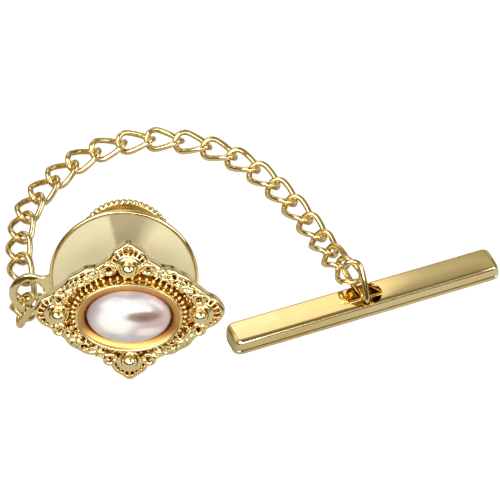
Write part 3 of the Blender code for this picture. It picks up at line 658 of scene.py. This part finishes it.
def make_ear(pose, finish):
    """The ear plate is pressed flat, its edges rounded over, with a bevelled eye."""
    radius = node_box("clutch_disc", pose)[1].y
    half = EAR_THICKNESS / 2
    section = [(0.1, -half), (0.03, -half + 0.03), (0.0, -half + 0.1), (0.0, half - 0.1),
               (0.03, half - 0.03), (0.1, half)]
    loops = [[(p.x, p.y, z) for p in ear_outline(radius, inset)] for inset, z in section]
    bm = skin(loops, closed=False)
    hole = EAR_HOLE_RADIUS
    rings = [(hole + 0.16, -0.4), (hole + 0.16, -half - 0.01), (hole, -half + 0.14),
             (hole, half - 0.14), (hole + 0.16, half + 0.01), (hole + 0.16, 0.4)]
    eye = skin([oval(r, r, z, 96) for r, z in rings], closed=False)
    bmesh.ops.translate(eye, vec=(EAR_REACH, 0, 0), verts=eye.verts)
    turn = Matrix.Rotation(math.radians(EAR_ANGLE), 4, "Z")
    spot = pose @ turn @ Matrix.Translation((0, 0, EAR_PLANE * MM))
    place("chain_ear", cut_with("ear", bm, [eye]), spot, "clutch", finish, slot="spun_gold",
          sharp=30)


def cut_with(name, bm, cutters):
    """The mesh with closed shapes cut from it."""
    tools = [add_object(f"{name}_cutter_{i}", in_millimetres(name, cutter))
             for i, cutter in enumerate(cutters)]
    cuts = [("BOOLEAN", {"operation": "DIFFERENCE", "solver": "EXACT", "object": tool})
            for tool in tools]
    mesh = in_millimetres(name, bm, cuts)
    for tool in tools:
        bpy.data.objects.remove(tool)
    return mesh


def make_barrel(pose, finish):
    """The drawn barrel behind the disc, with its flange and its rolled rear edge."""
    low, high = node_box("clutch_housing", pose)
    flange, front, rear, bore = high.x, high.z, low.z, BARREL_BORE
    profile = [
        (POST_HOLE_RADIUS, front, 0.03), (flange, front, 0.08), (flange, front - 0.25, 0.08),
        (flange - 0.3, front - 0.4, 0.15), (flange - 0.34, front - 1.2, 0.3),
        (flange - 0.3, front - 2.2, 0.3), (flange - 0.3, rear, 0.16), (bore, rear, 0.06),
        (bore, rear + 0.45, 0.02), (2.09, rear + 0.5, 0.02), (1.39, front - 0.2, 0.03),
        (POST_HOLE_RADIUS, front - 0.2, 0.03),
    ]
    place("clutch_barrel", turned(profile), pose, "clutch", finish, ["clutch_housing"])


def make_cap(pose, finish):
    low, high = node_box("housing_cap", pose)
    hole = CAP_HOLE
    profile = [
        (hole, high.z, 0.05), (high.x, high.z, 0.05), (high.x, low.z, 0.08),
        (1.75, low.z, 0.1), (1.65, low.z + 0.07, 0.1), (1.25, low.z + 0.07, 0.1),
        (hole, low.z, 0.08),
    ]
    place("barrel_cap", turned(profile), pose, "clutch", finish, ["housing_cap"])


def make_knob(pose, finish, face_finish):
    """The dished knob: its rim is rolled and coined into small round teeth."""
    low, high = node_box("pull_knob", pose)
    rim, front, hole = high.y, high.z, KNOB_HOLE
    profile = [
        (hole, front, 0.05), (1.5, front, 0.12), (2.5, front - 0.27, 0.3),
        (3.0, front - 0.26, 0.15), (rim - 0.24, front - 0.33, 0.1), (rim, front - 0.46, 0.12),
        (rim, low.z + 0.24, 0.14), (rim - 0.22, low.z, 0.14), (2.95, low.z + 0.06, 0.15),
        (2.5, low.z + 0.2, 0.3), (1.5, low.z + 0.38, 0.12), (hole, low.z + 0.38, 0.05),
    ]
    outline = softened(profile, 0.05)
    segments = KNOB_TEETH * 10
    loops = []
    for point in outline:
        reach = max(0.0, min(1.0, (point.x - (rim - 0.24)) / 0.16))
        loop = []
        for i in range(segments):
            turn = math.tau * i / segments
            wave = abs(math.cos(KNOB_TEETH * turn / 2)) ** 0.7
            radius = point.x - KNOB_TOOTH_DEPTH * reach * (1 - wave)
            loop.append((radius * math.cos(turn), radius * math.sin(turn), point.y))
        loops.append(loop)
    made = place("serrated_knob", skin(loops, closed=True), pose, "knob", finish, ["pull_knob"],
                 sharp=60)
    paint(made, face_finish, lambda spot, _: spot.xy.length < rim - KNOB_EDGE)


def make_cage(pose, finish):
    """The ball cage; only the end of its stem shows, in the middle of the knob."""
    low, high = node_box("ball_cage", pose)
    stem, shoulder, barrel, bore = 0.95, 1.6, 1.26, 0.62
    profile = [
        (bore, high.z), (barrel, high.z), (barrel, -2.65), (shoulder, -2.65),
        (shoulder, -2.85), (stem, -2.85), (stem, low.z, 0.12), (0.35, low.z, 0.1),
        (0.3, low.z + 0.08, 0.1), (0.02, low.z + 0.08, 0.02), (0.02, -5.2, 0.02), (bore, -5.15),
    ]
    place("ball_cage_sleeve", turned(profile), pose, "knob", finish, ["ball_cage"], "inner_brass")


def make_spring(pose, finish):
    """The locking spring, between the cage's shoulder and the cap."""
    low, high = node_box("locking_spring", pose)
    wire = (high.z - low.z) / 15
    radius = high.x - wire
    points = []
    for i in range(SPRING_TURNS * 24 + 1):
        turn = math.tau * i / 24
        height = low.z + wire + (high.z - low.z - 2 * wire) * i / (SPRING_TURNS * 24)
        points.append(polar(turn, radius, height))
    bm = bmesh.new()
    add_tube(bm, points, wire, 10)
    made = place("coil_spring", bm, pose, "clutch", finish, ["locking_spring"], "steel", 180)
    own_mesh(made)


# --- head ---


def make_post(pose, finish):
    low, high = node_box("tack_post", pose)
    r, groove = high.x, BALL_GROOVE
    profile = [
        (0.02, high.z, 0.0), (r, high.z, 0.03), (r, groove + 1.62, 0.04),
        (r - 0.08, groove + 1.5, 0.05), (r - 0.08, groove + 1.2, 0.05), (r, groove + 1.08, 0.04),
        (r, low.z + 0.95, 0.3), (r - 0.34, low.z + 0.03, 0.1), (0.02, low.z, 0.0),
    ]
    place("tack_pin", turned(profile, segments=64, closed=False), pose, "post", finish,
          ["tack_post"], "plated_post")


def make_pad(pose, finish):
    low, high = node_box("post_pad", pose)
    r = high.x
    profile = [
        (0.02, high.z, 0.0), (r, high.z, 0.06), (r, low.z + 0.12, 0.1), (r - 0.35, low.z, 0.12),
        (0.62, low.z, 0.1), (0.52, low.z - 0.1, 0.05), (0.02, low.z - 0.1, 0.0),
    ]
    place("soldered_pad", turned(profile, segments=96, closed=False), pose, "head", finish,
          ["post_pad"])


def head_frame(pose):
    """The clutch's frame moved to the middle of the setting; heights stay the clutch's own."""
    low, high = node_box("bezel_cup", pose)
    middle = (low + high) / 2
    return pose @ Matrix.Translation((middle.x * MM, middle.y * MM, 0))


def plate_outline(steps=10):
    """The whole outline: the quarter mirrored about both axes."""
    upper = list(PLATE_QUARTER) + [(-x, y) for x, y in reversed(PLATE_QUARTER[:-1])]
    lower = [(x, -y) for x, y in reversed(upper[1:-1])]
    plain = smooth_curve(upper + lower, steps, closed=True)
    travelled = [0.0]
    for one, other in zip(plain, plain[1:] + plain[:1]):
        travelled.append(travelled[-1] + (other - one).length)
    out = []
    for i, point in enumerate(plain):
        along = (plain[(i + 3) % len(plain)] - plain[i - 3]).normalized()
        swell = math.cos(math.tau * OUTLINE_LOBES * travelled[i] / travelled[-1])
        out.append(point + OUTLINE_WAVE / 2 * (swell - 1) * Vector((along.y, -along.x)))
    return out


def inset_outline(points, distance):
    """The outline moved inwards by a distance."""
    moved = []
    for i, point in enumerate(points):
        along = (points[(i + 3) % len(points)] - points[i - 3]).normalized()
        moved.append(point + distance * Vector((-along.y, along.x)))
    return moved


def add_plate(bm, back, front, seat):
    """The stepped plate: a rolled border round a sunken field, open where the setting sits."""
    outline = plate_outline()
    field = front - FIELD_DROP
    section = [
        (1.6, back + BACK_HOLLOW), (0.72, back + BACK_HOLLOW), (0.6, back + 0.1), (0.5, back),
        (0.12, back), (0.03, back + 0.03), (0.0, back + 0.12), (0.0, front - 0.14),
        (0.03, front - 0.04), (0.11, front + 0.01), (BORDER_WIDTH - 0.12, front + 0.01),
        (BORDER_WIDTH - 0.03, front - 0.05), (BORDER_WIDTH + 0.02, field + 0.05),
        (BORDER_WIDTH + 0.1, field),
    ]
    loops = [[(p.x, p.y, z) for p in inset_outline(outline, d)] for d, z in section]
    inner = [math.atan2(p.y / seat[1], p.x / seat[0]) for p in outline]
    for z in (field, back + BACK_HOLLOW):
        loops.append([(seat[0] * math.cos(t), seat[1] * math.sin(t), z) for t in inner])
    bridge(bm, loops, closed=True)


def arc(centre, radius, start, end, height, steps=16):
    """Points on an arc about a centre, with angles in degrees."""
    points = []
    for i in range(steps + 1):
        turn = math.radians(start + (end - start) * i / steps)
        points.append(Vector((centre[0] + radius * math.cos(turn),
                              centre[1] + radius * math.sin(turn), height)))
    return points


def add_tip(bm, centre, outward, field, front):
    """A tip's motif: a ball in a cup, a fan of ribs beyond it, and a volute on either side."""
    spread = 1.22 if abs(centre[0]) > abs(centre[1]) else 1.42
    out = math.degrees(outward)
    x, y = centre
    add_bead(bm, (x, y, BALL_PLANE), (BALL_RADIUS,) * 3, detail=4)
    add_bead(bm, (x, y, field + 0.15), (0.72, 0.72, 0.35), detail=3)
    add_tube(bm, arc(centre, 0.7, out - 180, out + 172, front + 0.22, 40)[:-1], 0.1, closed=True)
    # the arch over the ball, which the fan's ribs spring from
    add_tube(bm, arc(centre, 0.9, out - 78, out + 78, front + 0.12, 24), 0.12)
    for k in range(-4, 5):
        ray = polar(outward + math.radians(18.5 * k))
        length = 1.44 - 0.012 * k * k
        start = Vector((x, y, front + 0.08)) + 0.86 * ray
        end = Vector((x, y, front - 0.02)) + length * ray
        ribs = [start.lerp(end, t / 4) for t in range(5)]
        add_tube(bm, ribs, [0.07, 0.085, 0.09, 0.085, 0.07], 8)
    across = Vector((-math.sin(outward), math.cos(outward), 0))
    ahead = polar(outward)
    for side in (1, -1):
        eye = Vector((x, y, front + 0.2)) + across * (spread * side) - ahead * 0.06
        add_volute(bm, eye, math.degrees(outward) + 90 * side, side)


def add_volute(bm, eye, towards, side):
    """A round loop whose wire runs on into a short tail towards the ball."""
    points, radii = [], []
    for i in range(29):
        t = i / 28
        turn = math.radians(towards + side * (215 - 400 * t))
        radius = 0.33 + 0.09 * (1 - t)
        points.append(eye + polar(turn, radius, 0.1 * t))
        radii.append(0.15 + 0.03 * math.sin(math.pi * t))
    add_tube(bm, points, radii, 10)


def add_curl(bm, centre, facing, radius, wire, height):
    """A scroll: an open ring whose wire swells in the middle and lifts a little at one end."""
    points, radii = [], []
    for i in range(25):
        t = i / 24
        turn = facing + math.radians(150 - 300 * t)
        reach = radius * (1 - 0.25 * t)
        points.append(Vector((centre.x + reach * math.cos(turn), centre.y + reach * math.sin(turn),
                              height + 0.08 * t)))
        radii.append(wire * (0.75 + 0.35 * math.sin(math.pi * t)))
    add_tube(bm, points, radii, 9)


def add_leaf(bm, centre, along, length, width, height):
    """A pointed loop with a dark eye, lying along the border."""
    ahead = polar(along)
    across = Vector((-ahead.y, ahead.x, 0))
    points = []
    for i in range(28):
        turn = math.tau * i / 28
        reach = length * math.copysign(abs(math.cos(turn)) ** 0.85, math.cos(turn))
        points.append(Vector((*centre, height)) + reach * ahead + width * math.sin(turn) * across)
    add_tube(bm, points, 0.1, 9, closed=True)


def add_shell(bm, centre, outward, height):
    """A small ribbed shell whose ribs spread towards the border."""
    for k in range(-2, 3):
        ray = polar(outward + math.radians(26 * k))
        foot = Vector((*centre, height - 0.1)) - 0.3 * polar(outward)
        start, end = foot + 0.12 * ray, foot + (0.74 - 0.02 * k * k) * ray
        end.z = height + 0.02
        add_tube(bm, [start.lerp(end, t / 3) for t in range(4)], [0.06, 0.08, 0.095, 0.08], 8)


def add_quarter(bm, mirror_x, mirror_y, front):
    """One quarter's scrollwork between two tips: curls, leaves and shells crowded together."""
    row = smooth_curve([(x * mirror_x, y * mirror_y, 0) for x, y in SCROLL_ROW], 8, closed=False)
    top = front + 0.16
    for i in range(SCROLL_COUNT):
        at = (i + 0.5) / SCROLL_COUNT * (len(row) - 1)
        k = min(int(at), len(row) - 2)
        here = row[k].lerp(row[k + 1], at - k)
        along = (row[k + 1] - row[k]).normalized()
        outward = Vector((-along.y, along.x, 0))
        if outward.dot(here) < 0:
            outward.negate()
        along_turn = math.atan2(along.y, along.x)
        out_turn = math.atan2(outward.y, outward.x)
        kind = i % 4
        if kind == 0:
            add_curl(bm, here + 0.1 * outward, along_turn, 0.25, 0.1, top)
        elif kind == 1:
            add_shell(bm, (here + 0.02 * outward).xy, out_turn, top)
        elif kind == 2:
            add_leaf(bm, (here + 0.08 * outward).xy, along_turn + 0.35, 0.4, 0.2, top)
        else:
            add_curl(bm, here - 0.02 * outward, along_turn + math.pi, 0.23, 0.095, top + 0.04)
        for side, reach in ((1, 0.36), (-1, 0.3)):
            spot = here + 0.27 * along + side * reach * outward
            add_bead(bm, (spot.x, spot.y, top - 0.1), (0.15, 0.11, 0.12), out_turn + side * 0.5)
    # a wavy stem winds through the row, over the field
    stem = []
    for i, point in enumerate(row):
        along = (row[min(i + 1, len(row) - 1)] - row[max(i - 1, 0)]).normalized()
        swing = 0.2 * math.sin(i * math.tau / 10)
        stem.append(Vector((point.x - along.y * swing, point.y + along.x * swing, front - 0.08)))
    add_tube(bm, stem, 0.1, 8)


def add_grains(bm, field):
    """Fills the field with small granules of uneven height, as a worn casting has."""
    reach = rim_reach()
    rows, columns = int(6 / GRAIN_SPACING), int(7 / GRAIN_SPACING)
    for row in range(-rows, rows + 1):
        for column in range(-columns, columns + 1):
            sway = 0.22 * math.sin(7.1 * row + 3.3 * column)
            x = GRAIN_SPACING * (column + 0.5 * (row % 2) + sway)
            y = GRAIN_SPACING * (row * 0.87 + 0.2 * math.sin(5.3 * column - 2.7 * row))
            rim = reach[int(math.degrees(math.atan2(y, x)) % 360)]
            if math.hypot(x, y) > rim - 1.5 * BORDER_WIDTH:
                continue
            if (x / (BEAD_RING[0] + 0.25)) ** 2 + (y / (BEAD_RING[1] + 0.25)) ** 2 < 1:
                continue
            lift = 0.16 + 0.1 * math.sin(4.7 * row + 8.9 * column)
            add_bead(bm, (x, y, field + lift), (0.17, 0.15, 0.18), 1.3 * row + column)


def add_bead_ring(bm, height):
    """The beads round the setting, each an egg that lies across the ring."""
    for i in range(BEAD_COUNT):
        turn = math.tau * (i + 0.5) / BEAD_COUNT
        x, y = BEAD_RING[0] * math.cos(turn), BEAD_RING[1] * math.sin(turn)
        across = math.atan2(y / BEAD_RING[1] ** 2, x / BEAD_RING[0] ** 2)
        slant = math.copysign(BEAD_SLANT, x * y)
        add_bead(bm, (x, y, height), BEAD_SIZE, across + slant, detail=3)


def make_ornament(pose, finish_of, edge_finish):
    """The cast head: all its features fused into one skin and softened as a casting is."""
    low, high = node_box("ornament_frame", pose)
    back, crest = low.z, high.z
    front = back + PLATE_THICKNESS
    field = front - FIELD_DROP
    seat_low, seat_high = node_box("bezel_cup", pose)
    seat = tuple((seat_high[k] - seat_low[k]) / 2 - SEAT_OVERLAP for k in (0, 1))
    bm = bmesh.new()
    add_plate(bm, back, front, seat)
    tips = ((SIDE_BALL, 0, 0), (0, TOP_BALL, 90), (-SIDE_BALL, 0, 180), (0, -TOP_BALL, 270))
    for x, y, turn in tips:
        add_tip(bm, (x, y), math.radians(turn), field, front)
    for mirror_x in (1, -1):
        for mirror_y in (1, -1):
            add_quarter(bm, mirror_x, mirror_y, front)
    add_grains(bm, field)
    add_bead_ring(bm, front + 0.18)
    fuse = ("REMESH", {"mode": "VOXEL", "voxel_size": CAST_VOXEL, "adaptivity": 0.0})
    soften = ("SMOOTH", {"factor": 0.5, "iterations": 3})
    mesh = in_millimetres("ornament", bm, [fuse, soften])
    made = place("cast_ornament", mesh, pose, "head", finish_of(field, crest - 0.5),
                 ["ornament_frame"], sharp=180)
    reach = rim_reach()

    def at_edge(spot, normal):
        turn = math.degrees(math.atan2(spot.y, spot.x)) % 360
        at_rim = math.hypot(spot.x, spot.y) > 0.965 * reach[int(turn)]
        return at_rim or normal.z < -0.2

    paint(made, edge_finish, at_edge)


def rim_reach():
    """How far the plate's outline stands from the middle, for each whole degree."""
    outline = plate_outline()
    reach = [0.0] * 360
    turns = [math.degrees(math.atan2(p.y, p.x)) % 360 for p in outline]
    for degree in range(360):
        near = min(range(len(outline)), key=lambda i: abs((turns[i] - degree + 180) % 360 - 180))
        reach[degree] = outline[near].length
    return reach


def make_bezel(pose, finish, cove_of):
    """The setting: a broad polished lip, then a shallow cove down to the stone."""
    low, high = node_box("bezel_cup", pose)
    half_x, half_y = (high.x - low.x) / 2, (high.y - low.y) / 2
    lip, foot = high.z, low.z
    profile = [
        (-0.98, foot, 0.05), (-0.98, foot + 0.85, 0.05), (0.0, foot + 0.9, 0.05),
        (0.0, lip - 0.3, 0.12), (-0.05, lip - 0.03, 0.08), (-0.14, lip, 0.05),
        (-0.22, lip - 0.04, 0.05), (-0.3, lip - 0.15, 0.09), (-0.72, lip - 0.3, 0.08),
        (-0.8, lip - 0.4, 0.03), (-0.81, lip - 0.68, 0.03),
        (-1.5, lip - 0.7, 0.05), (-1.5, foot + 0.3, 0.05),
    ]
    outline = softened(profile, 0.05)
    loops = [oval(half_x + p.x, half_y + p.x, p.y, 160) for p in outline]
    made = place("oval_bezel", skin(loops, closed=False), pose, "head", finish, ["bezel_cup"])
    inner_x, inner_y = half_x - 0.2, half_y - 0.2

    def in_cove(spot, _):
        within = (spot.x / inner_x) ** 2 + (spot.y / inner_y) ** 2 < 1
        return within and spot.z > lip - 0.66

    paint(made, cove_of(lip - 0.42, lip - 0.08), in_cove)


def make_pearl(pose, finish):
    """The domed stone, a little flattened on top, with a rounded girdle."""
    low, high = node_box("pearl_cabochon", pose)
    half_x = (high.x - low.x) / 2 - STONE_INSET[0]
    half_y = (high.y - low.y) / 2 - STONE_INSET[1]
    base, tall = low.z, high.z - low.z
    loops = [oval(half_x * 0.96, half_y * 0.96, base, 128), oval(half_x, half_y, base + 0.06, 128)]
    steps = 40
    for i in range(steps):
        turn = math.radians(90 * i / steps)
        spread = math.cos(turn) ** 0.94
        height = base + 0.12 + (tall - 0.12) * math.sin(turn)
        loops.append(oval(half_x * spread, half_y * spread, height, 128))
    place("pearl_stone", skin(loops, closed=False), pose, "head", finish, ["pearl_cabochon"],
          "pearl", 180)


# --- chain ---


def wire_oval(half_length, half_width, twist, steps):
    """Centre line and normals of an oval link; twist turns its ends opposite ways."""
    points, normals = [], []
    straight = half_length - half_width
    quarter = []
    for i in range(steps):
        quarter.append(Vector((straight * i / steps, -half_width, 0)))
    for i in range(2 * steps):
        turn = math.radians(-90 + 180 * i / (2 * steps))
        quarter.append(Vector((straight + half_width * math.cos(turn),
                               half_width * math.sin(turn), 0)))
    for i in range(steps):
        quarter.append(Vector((straight * (1 - i / steps), half_width, 0)))
    whole = quarter + [Vector((-p.x, -p.y, 0)) for p in quarter]
    for flat in whole:
        turn = Matrix.Rotation(math.radians(twist) * flat.x / half_length, 3, "X")
        points.append(turn @ flat)
        normals.append(turn @ Vector((0, 0, 1)))
    return points, normals


def wire_link(points, normals, radius, sides):
    """A closed round wire; each normal lies across the wire at its point."""
    loops = []
    count = len(points)
    for i, point in enumerate(points):
        tangent = (points[(i + 1) % count] - points[i - 1]).normalized()
        loops.append(wire_ring(point, tangent, normals[i], radius, sides))
    return skin(loops, closed=True)


def make_links(finish):
    """Every link of the chain, each a closed wire; its wire, twist, steps and sides by kind."""
    curbs = sorted(n for n in frame["nodes"] if n.startswith("curb_link"))
    kinds = [(name, name.replace("link", "wire"), CURB_WIRE, CURB_TWIST, 8, 20) for name in curbs]
    kinds += [(name, f"{name}_wire", END_LINK_WIRE, twist, 12, 24)
              for name, twist in END_LINK_TWISTS.items()]
    for name, piece, wire, twist, steps, sides in kinds:
        pose = link_frame(name)
        half = Vector(node_points(name, pose).max(0)) - Vector((wire,) * 3) / 2
        link = wire_link(*wire_oval(half.x, half.y, twist, steps), wire / 2, sides)
        place(piece, link, pose, name, finish, [name], sharp=180)


# --- bar ---


def bar_section(half, height, shrink, steps=10):
    """The bar's section: a wall with a fine seam line, a tight shoulder and a nearly flat top."""
    half, top = half - shrink, height - shrink
    seam = min(BAR_SEAM_HEIGHT, top - 0.6)
    crown = BAR_CROWN * (half - BAR_CORNER) ** 2
    corner = top - crown - BAR_CORNER
    right = [(half - 0.3, 0.0), (half - 0.16, 0.04), (half - 0.08, 0.12), (half - 0.02, 0.28),
             (half, seam - 0.09), (half - 0.06, seam - 0.065), (half - 0.08, seam),
             (half - 0.06, seam + 0.065), (half, seam + 0.09)]
    inner = half - 0.04
    for i in range(steps + 1):
        turn = math.radians(2 + 82 * i / steps)
        right.append((inner - BAR_CORNER * (1 - math.cos(turn)),
                      corner + BAR_CORNER * math.sin(turn)))
    edge = right[-1][0]
    for i in range(1, 8):
        y = edge * (1 - i / 8)
        right.append((y, top - crown * (y / edge) ** 2))
    left = [(-y, z) for y, z in reversed(right)]
    return right + [(0.0, top)] + left


def obround(length, width, height, steps=20):
    points = []
    for side in (1, -1):
        for i in range(steps + 1):
            turn = math.radians(-90 + 180 * i / steps)
            x = side * ((length - width) / 2 + width / 2 * math.cos(turn))
            points.append((x, side * width / 2 * math.sin(turn), height))
    return points


def slab(length, width, bottom, top):
    bm = bmesh.new()
    bmesh.ops.create_cube(bm, size=1.0)
    bmesh.ops.scale(bm, vec=(length, width, top - bottom), verts=bm.verts)
    bmesh.ops.translate(bm, vec=(0, 0, (top + bottom) / 2), verts=bm.verts)
    return bm


def make_bar(pose, finish, inside, seam_shade):
    """The folded shell with its hole and channel, the strip that closes it and the cross pin."""
    half, width, height = node_box("bar_shell", pose)[1]
    ends = [(half - back, shrink) for back, shrink in BAR_END] + [(4.0, 0.0), (1.9, 0.0)]
    stations = [(-x, s) for x, s in ends] + [(x, s) for x, s in reversed(ends)]
    loops = [[(x, y, z) for y, z in bar_section(width, height, shrink)] for x, shrink in stations]
    shell = skin(loops, closed=False)
    wide = 2 * COUNTERSINK
    levels = ((0, 0.3), (0, height - 0.26), (wide, height + 0.1), (wide, height + 1))
    hole = skin([obround(BAR_HOLE_LENGTH + more, BAR_HOLE_WIDTH + more, z) for more, z in levels],
                closed=False)
    bmesh.ops.translate(hole, vec=(BAR_HOLE_SHIFT, 0, 0), verts=hole.verts)
    plate_low, plate_high = node_box("bar_back_plate", pose)
    channel = slab(2 * plate_high.x + 0.06, 2 * plate_high.y + 0.06, -1.0, 1.0)
    made = place("toggle_bar_shell", cut_with("bar", shell, [channel, hole]), pose, "toggle_bar",
                 finish, ["bar_shell"], sharp=50)
    weigh = made.modifiers.new("weigh", "WEIGHTED_NORMAL")
    weigh.keep_sharp = True
    weigh.weight = 80

    def within_ends(spot):
        return abs(spot.x) <= half - 0.4

    paint(made, inside, lambda spot, _: within_ends(spot) and abs(spot.y) < width - 0.12
          and 0.02 < spot.z < height - 0.18)
    # painted shade: the faces in the seam's groove get a dark brown
    paint(made, seam_shade, lambda spot, _: within_ends(spot) and abs(spot.y) > width - 0.2
          and abs(spot.z - BAR_SEAM_HEIGHT) < 0.065)
    strip = softened([(-plate_high.y, plate_low.z), (plate_high.y, plate_low.z),
                      (plate_high.y, plate_high.z), (-plate_high.y, plate_high.z)], 0.04)
    loops = [[(x, p.x, p.y) for p in strip] for x in (-plate_high.x, plate_high.x)]
    place("bar_back_strip", skin(loops, closed=False), pose, "toggle_bar", inside,
          ["bar_back_plate"])
    pin_low, pin_high = node_box("bar_retaining_pin", pose)
    r = (pin_high.z - pin_low.z) / 2
    profile = [(0.01, pin_low.x), (r, pin_low.x, 0.04), (r, pin_high.x, 0.04), (0.01, pin_high.x)]
    lie = Matrix.Rotation(math.radians(90), 4, "Y")
    middle = Vector((0, (pin_low.y + pin_high.y) / 2, (pin_low.z + pin_high.z) / 2)) * MM
    place("bar_cross_pin", turned(profile, segments=32, closed=False),
          pose @ Matrix.Translation(middle) @ lie, "toggle_bar", inside, ["bar_retaining_pin"])


# --- studio ---


def floor(radius=4.0):
    mesh = bpy.data.meshes.new("floor")
    corners = [(x * radius, y * radius, CAD_BOX[0].z - 0.00002)
               for x, y in ((-1, -1), (1, -1), (1, 1), (-1, 1))]
    mesh.from_pydata(corners, [], [(0, 1, 2, 3)])
    made = add_object("floor", mesh)
    paper, tree, shader = new_material(
        "white_paper", Base_Color=PAPER_COLOUR, Roughness=0.9, Specular_IOR_Level=0.1,
        Emission_Color=(1, 1, 1, 1))
    # the paper is burnt out to white in the picture, but it lights the metal only as paper does
    path = node(tree, "ShaderNodeLightPath")
    glow = node(tree, "ShaderNodeMath", {0: path.outputs["Is Camera Ray"], 1: PAPER_GLOW},
                operation="MULTIPLY")
    tree.links.new(glow.outputs["Value"], shader.inputs["Emission Strength"])
    mesh.materials.append(paper)


def surroundings():
    """A white tent overhead that darkens towards the horizon, as a studio does."""
    world = bpy.data.worlds.new("studio")
    bpy.context.scene.world = world
    world.use_nodes = True
    tree = world.node_tree
    background = tree.nodes["Background"]
    where = node(tree, "ShaderNodeTexCoord")
    apart = node(tree, "ShaderNodeSeparateXYZ", {"Vector": where.outputs["Generated"]})
    ramp(tree, apart.outputs["Z"], STUDIO_TONES, background.inputs["Color"])
    background.inputs["Strength"].default_value = 1.0


def look_along(made, way):
    made.rotation_euler = way.to_track_quat("-Z", "Y").to_euler()


def soft_box(name, azimuth, elevation, distance, size, power):
    """A soft light that looks at the object from a bearing round it."""
    data = bpy.data.lights.new(name, "AREA")
    data.shape = "RECTANGLE"
    data.size, data.size_y = size
    data.energy = power
    made = add_object(name, data)
    a, e = math.radians(azimuth), math.radians(elevation)
    away = Vector((math.sin(a) * math.cos(e), -math.cos(a) * math.cos(e), math.sin(e)))
    made.location = away * distance
    look_along(made, -away)
    return made


def camera():
    low, high = CAD_BOX
    data = bpy.data.cameras.new("camera")
    data.lens = LENS
    data.sensor_width = 36.0
    data.clip_start, data.clip_end = 0.01, 20.0
    made = add_object("camera", data)
    e = math.radians(ELEVATION)
    back = Vector((0, -math.cos(e), math.sin(e)))
    target = (low + high) / 2 + Vector(AIM) * MM
    made.location = target + back * CAMERA_DISTANCE
    look_along(made, -back)
    bpy.context.scene.camera = made


def build():
    clutch = clutch_frame()
    head = head_frame(clutch)
    bar = bar_frame()
    polished = gold_plate("polished_gold_plate")
    wire_gold = gold_plate("chain_wire_gold", (0.90, 0.75, 0.41), (0.80, 0.62, 0.28), (0.07, 0.12),
                           1400.0, 0.03)
    bar_gold = gold_plate("bar_gold", rough=(0.07, 0.13), grain=700.0, bump=0.05,
                          stretch=(0.05, 1, 1))
    amber = gold_plate("amber_gold", (0.86, 0.62, 0.25), (0.76, 0.48, 0.15), (0.12, 0.2))
    # dark brown for the painted shade in the bar's seam
    seam_shade = gold_plate("painted_seam_shade", (0.10, 0.055, 0.015), (0.05, 0.025, 0.01), (0.3, 0.45))
    brass = gold_plate("turned_brass", (0.84, 0.66, 0.33), (0.72, 0.52, 0.22), (0.25, 0.4))
    pin_steel = gold_plate("plated_pin_steel", (0.9, 0.8, 0.55), (0.8, 0.68, 0.42), (0.14, 0.26))
    steel = gold_plate("bright_steel", (0.75, 0.75, 0.77), (0.62, 0.62, 0.64), (0.12, 0.25))

    make_disc(clutch, spun_gold(), polished)
    make_ear(clutch, polished)
    make_barrel(clutch, polished)
    make_cap(clutch, polished)
    make_knob(clutch, wire_gold, amber)
    make_cage(clutch, brass)
    make_spring(clutch, steel)
    make_post(clutch, pin_steel)
    make_pad(clutch, polished)
    make_ornament(head, cast_gold, polished)
    make_bezel(head, polished, amber_cove)
    make_pearl(head, nacre())
    make_links(wire_gold)
    make_bar(bar, bar_gold, amber, seam_shade)
    kept = [(f"lock_ball_{i}", steel, "steel") for i in (1, 2, 3)]
    for name, finish, slot in kept + [("cement_bed", cement(), "cement")]:
        mesh = frame["nodes"][name].data
        mesh.materials.clear()
        mesh.materials.append(finish)

    floor()
    surroundings()
    for light in LIGHTS:
        soft_box(*light)
    # a near panel behind the bar lies in the polish of its left half
    panel = soft_box("panel", 0, 0, 0.1, (0.1, 0.1), PANEL_POWER)
    panel.data.color = PANEL_COLOUR
    panel.location = bar.translation + Vector(PANEL_FROM_BAR)
    look_along(panel, bar.translation - panel.location)
    camera()
    bpy.context.scene.view_settings.view_transform = "Standard"


build()
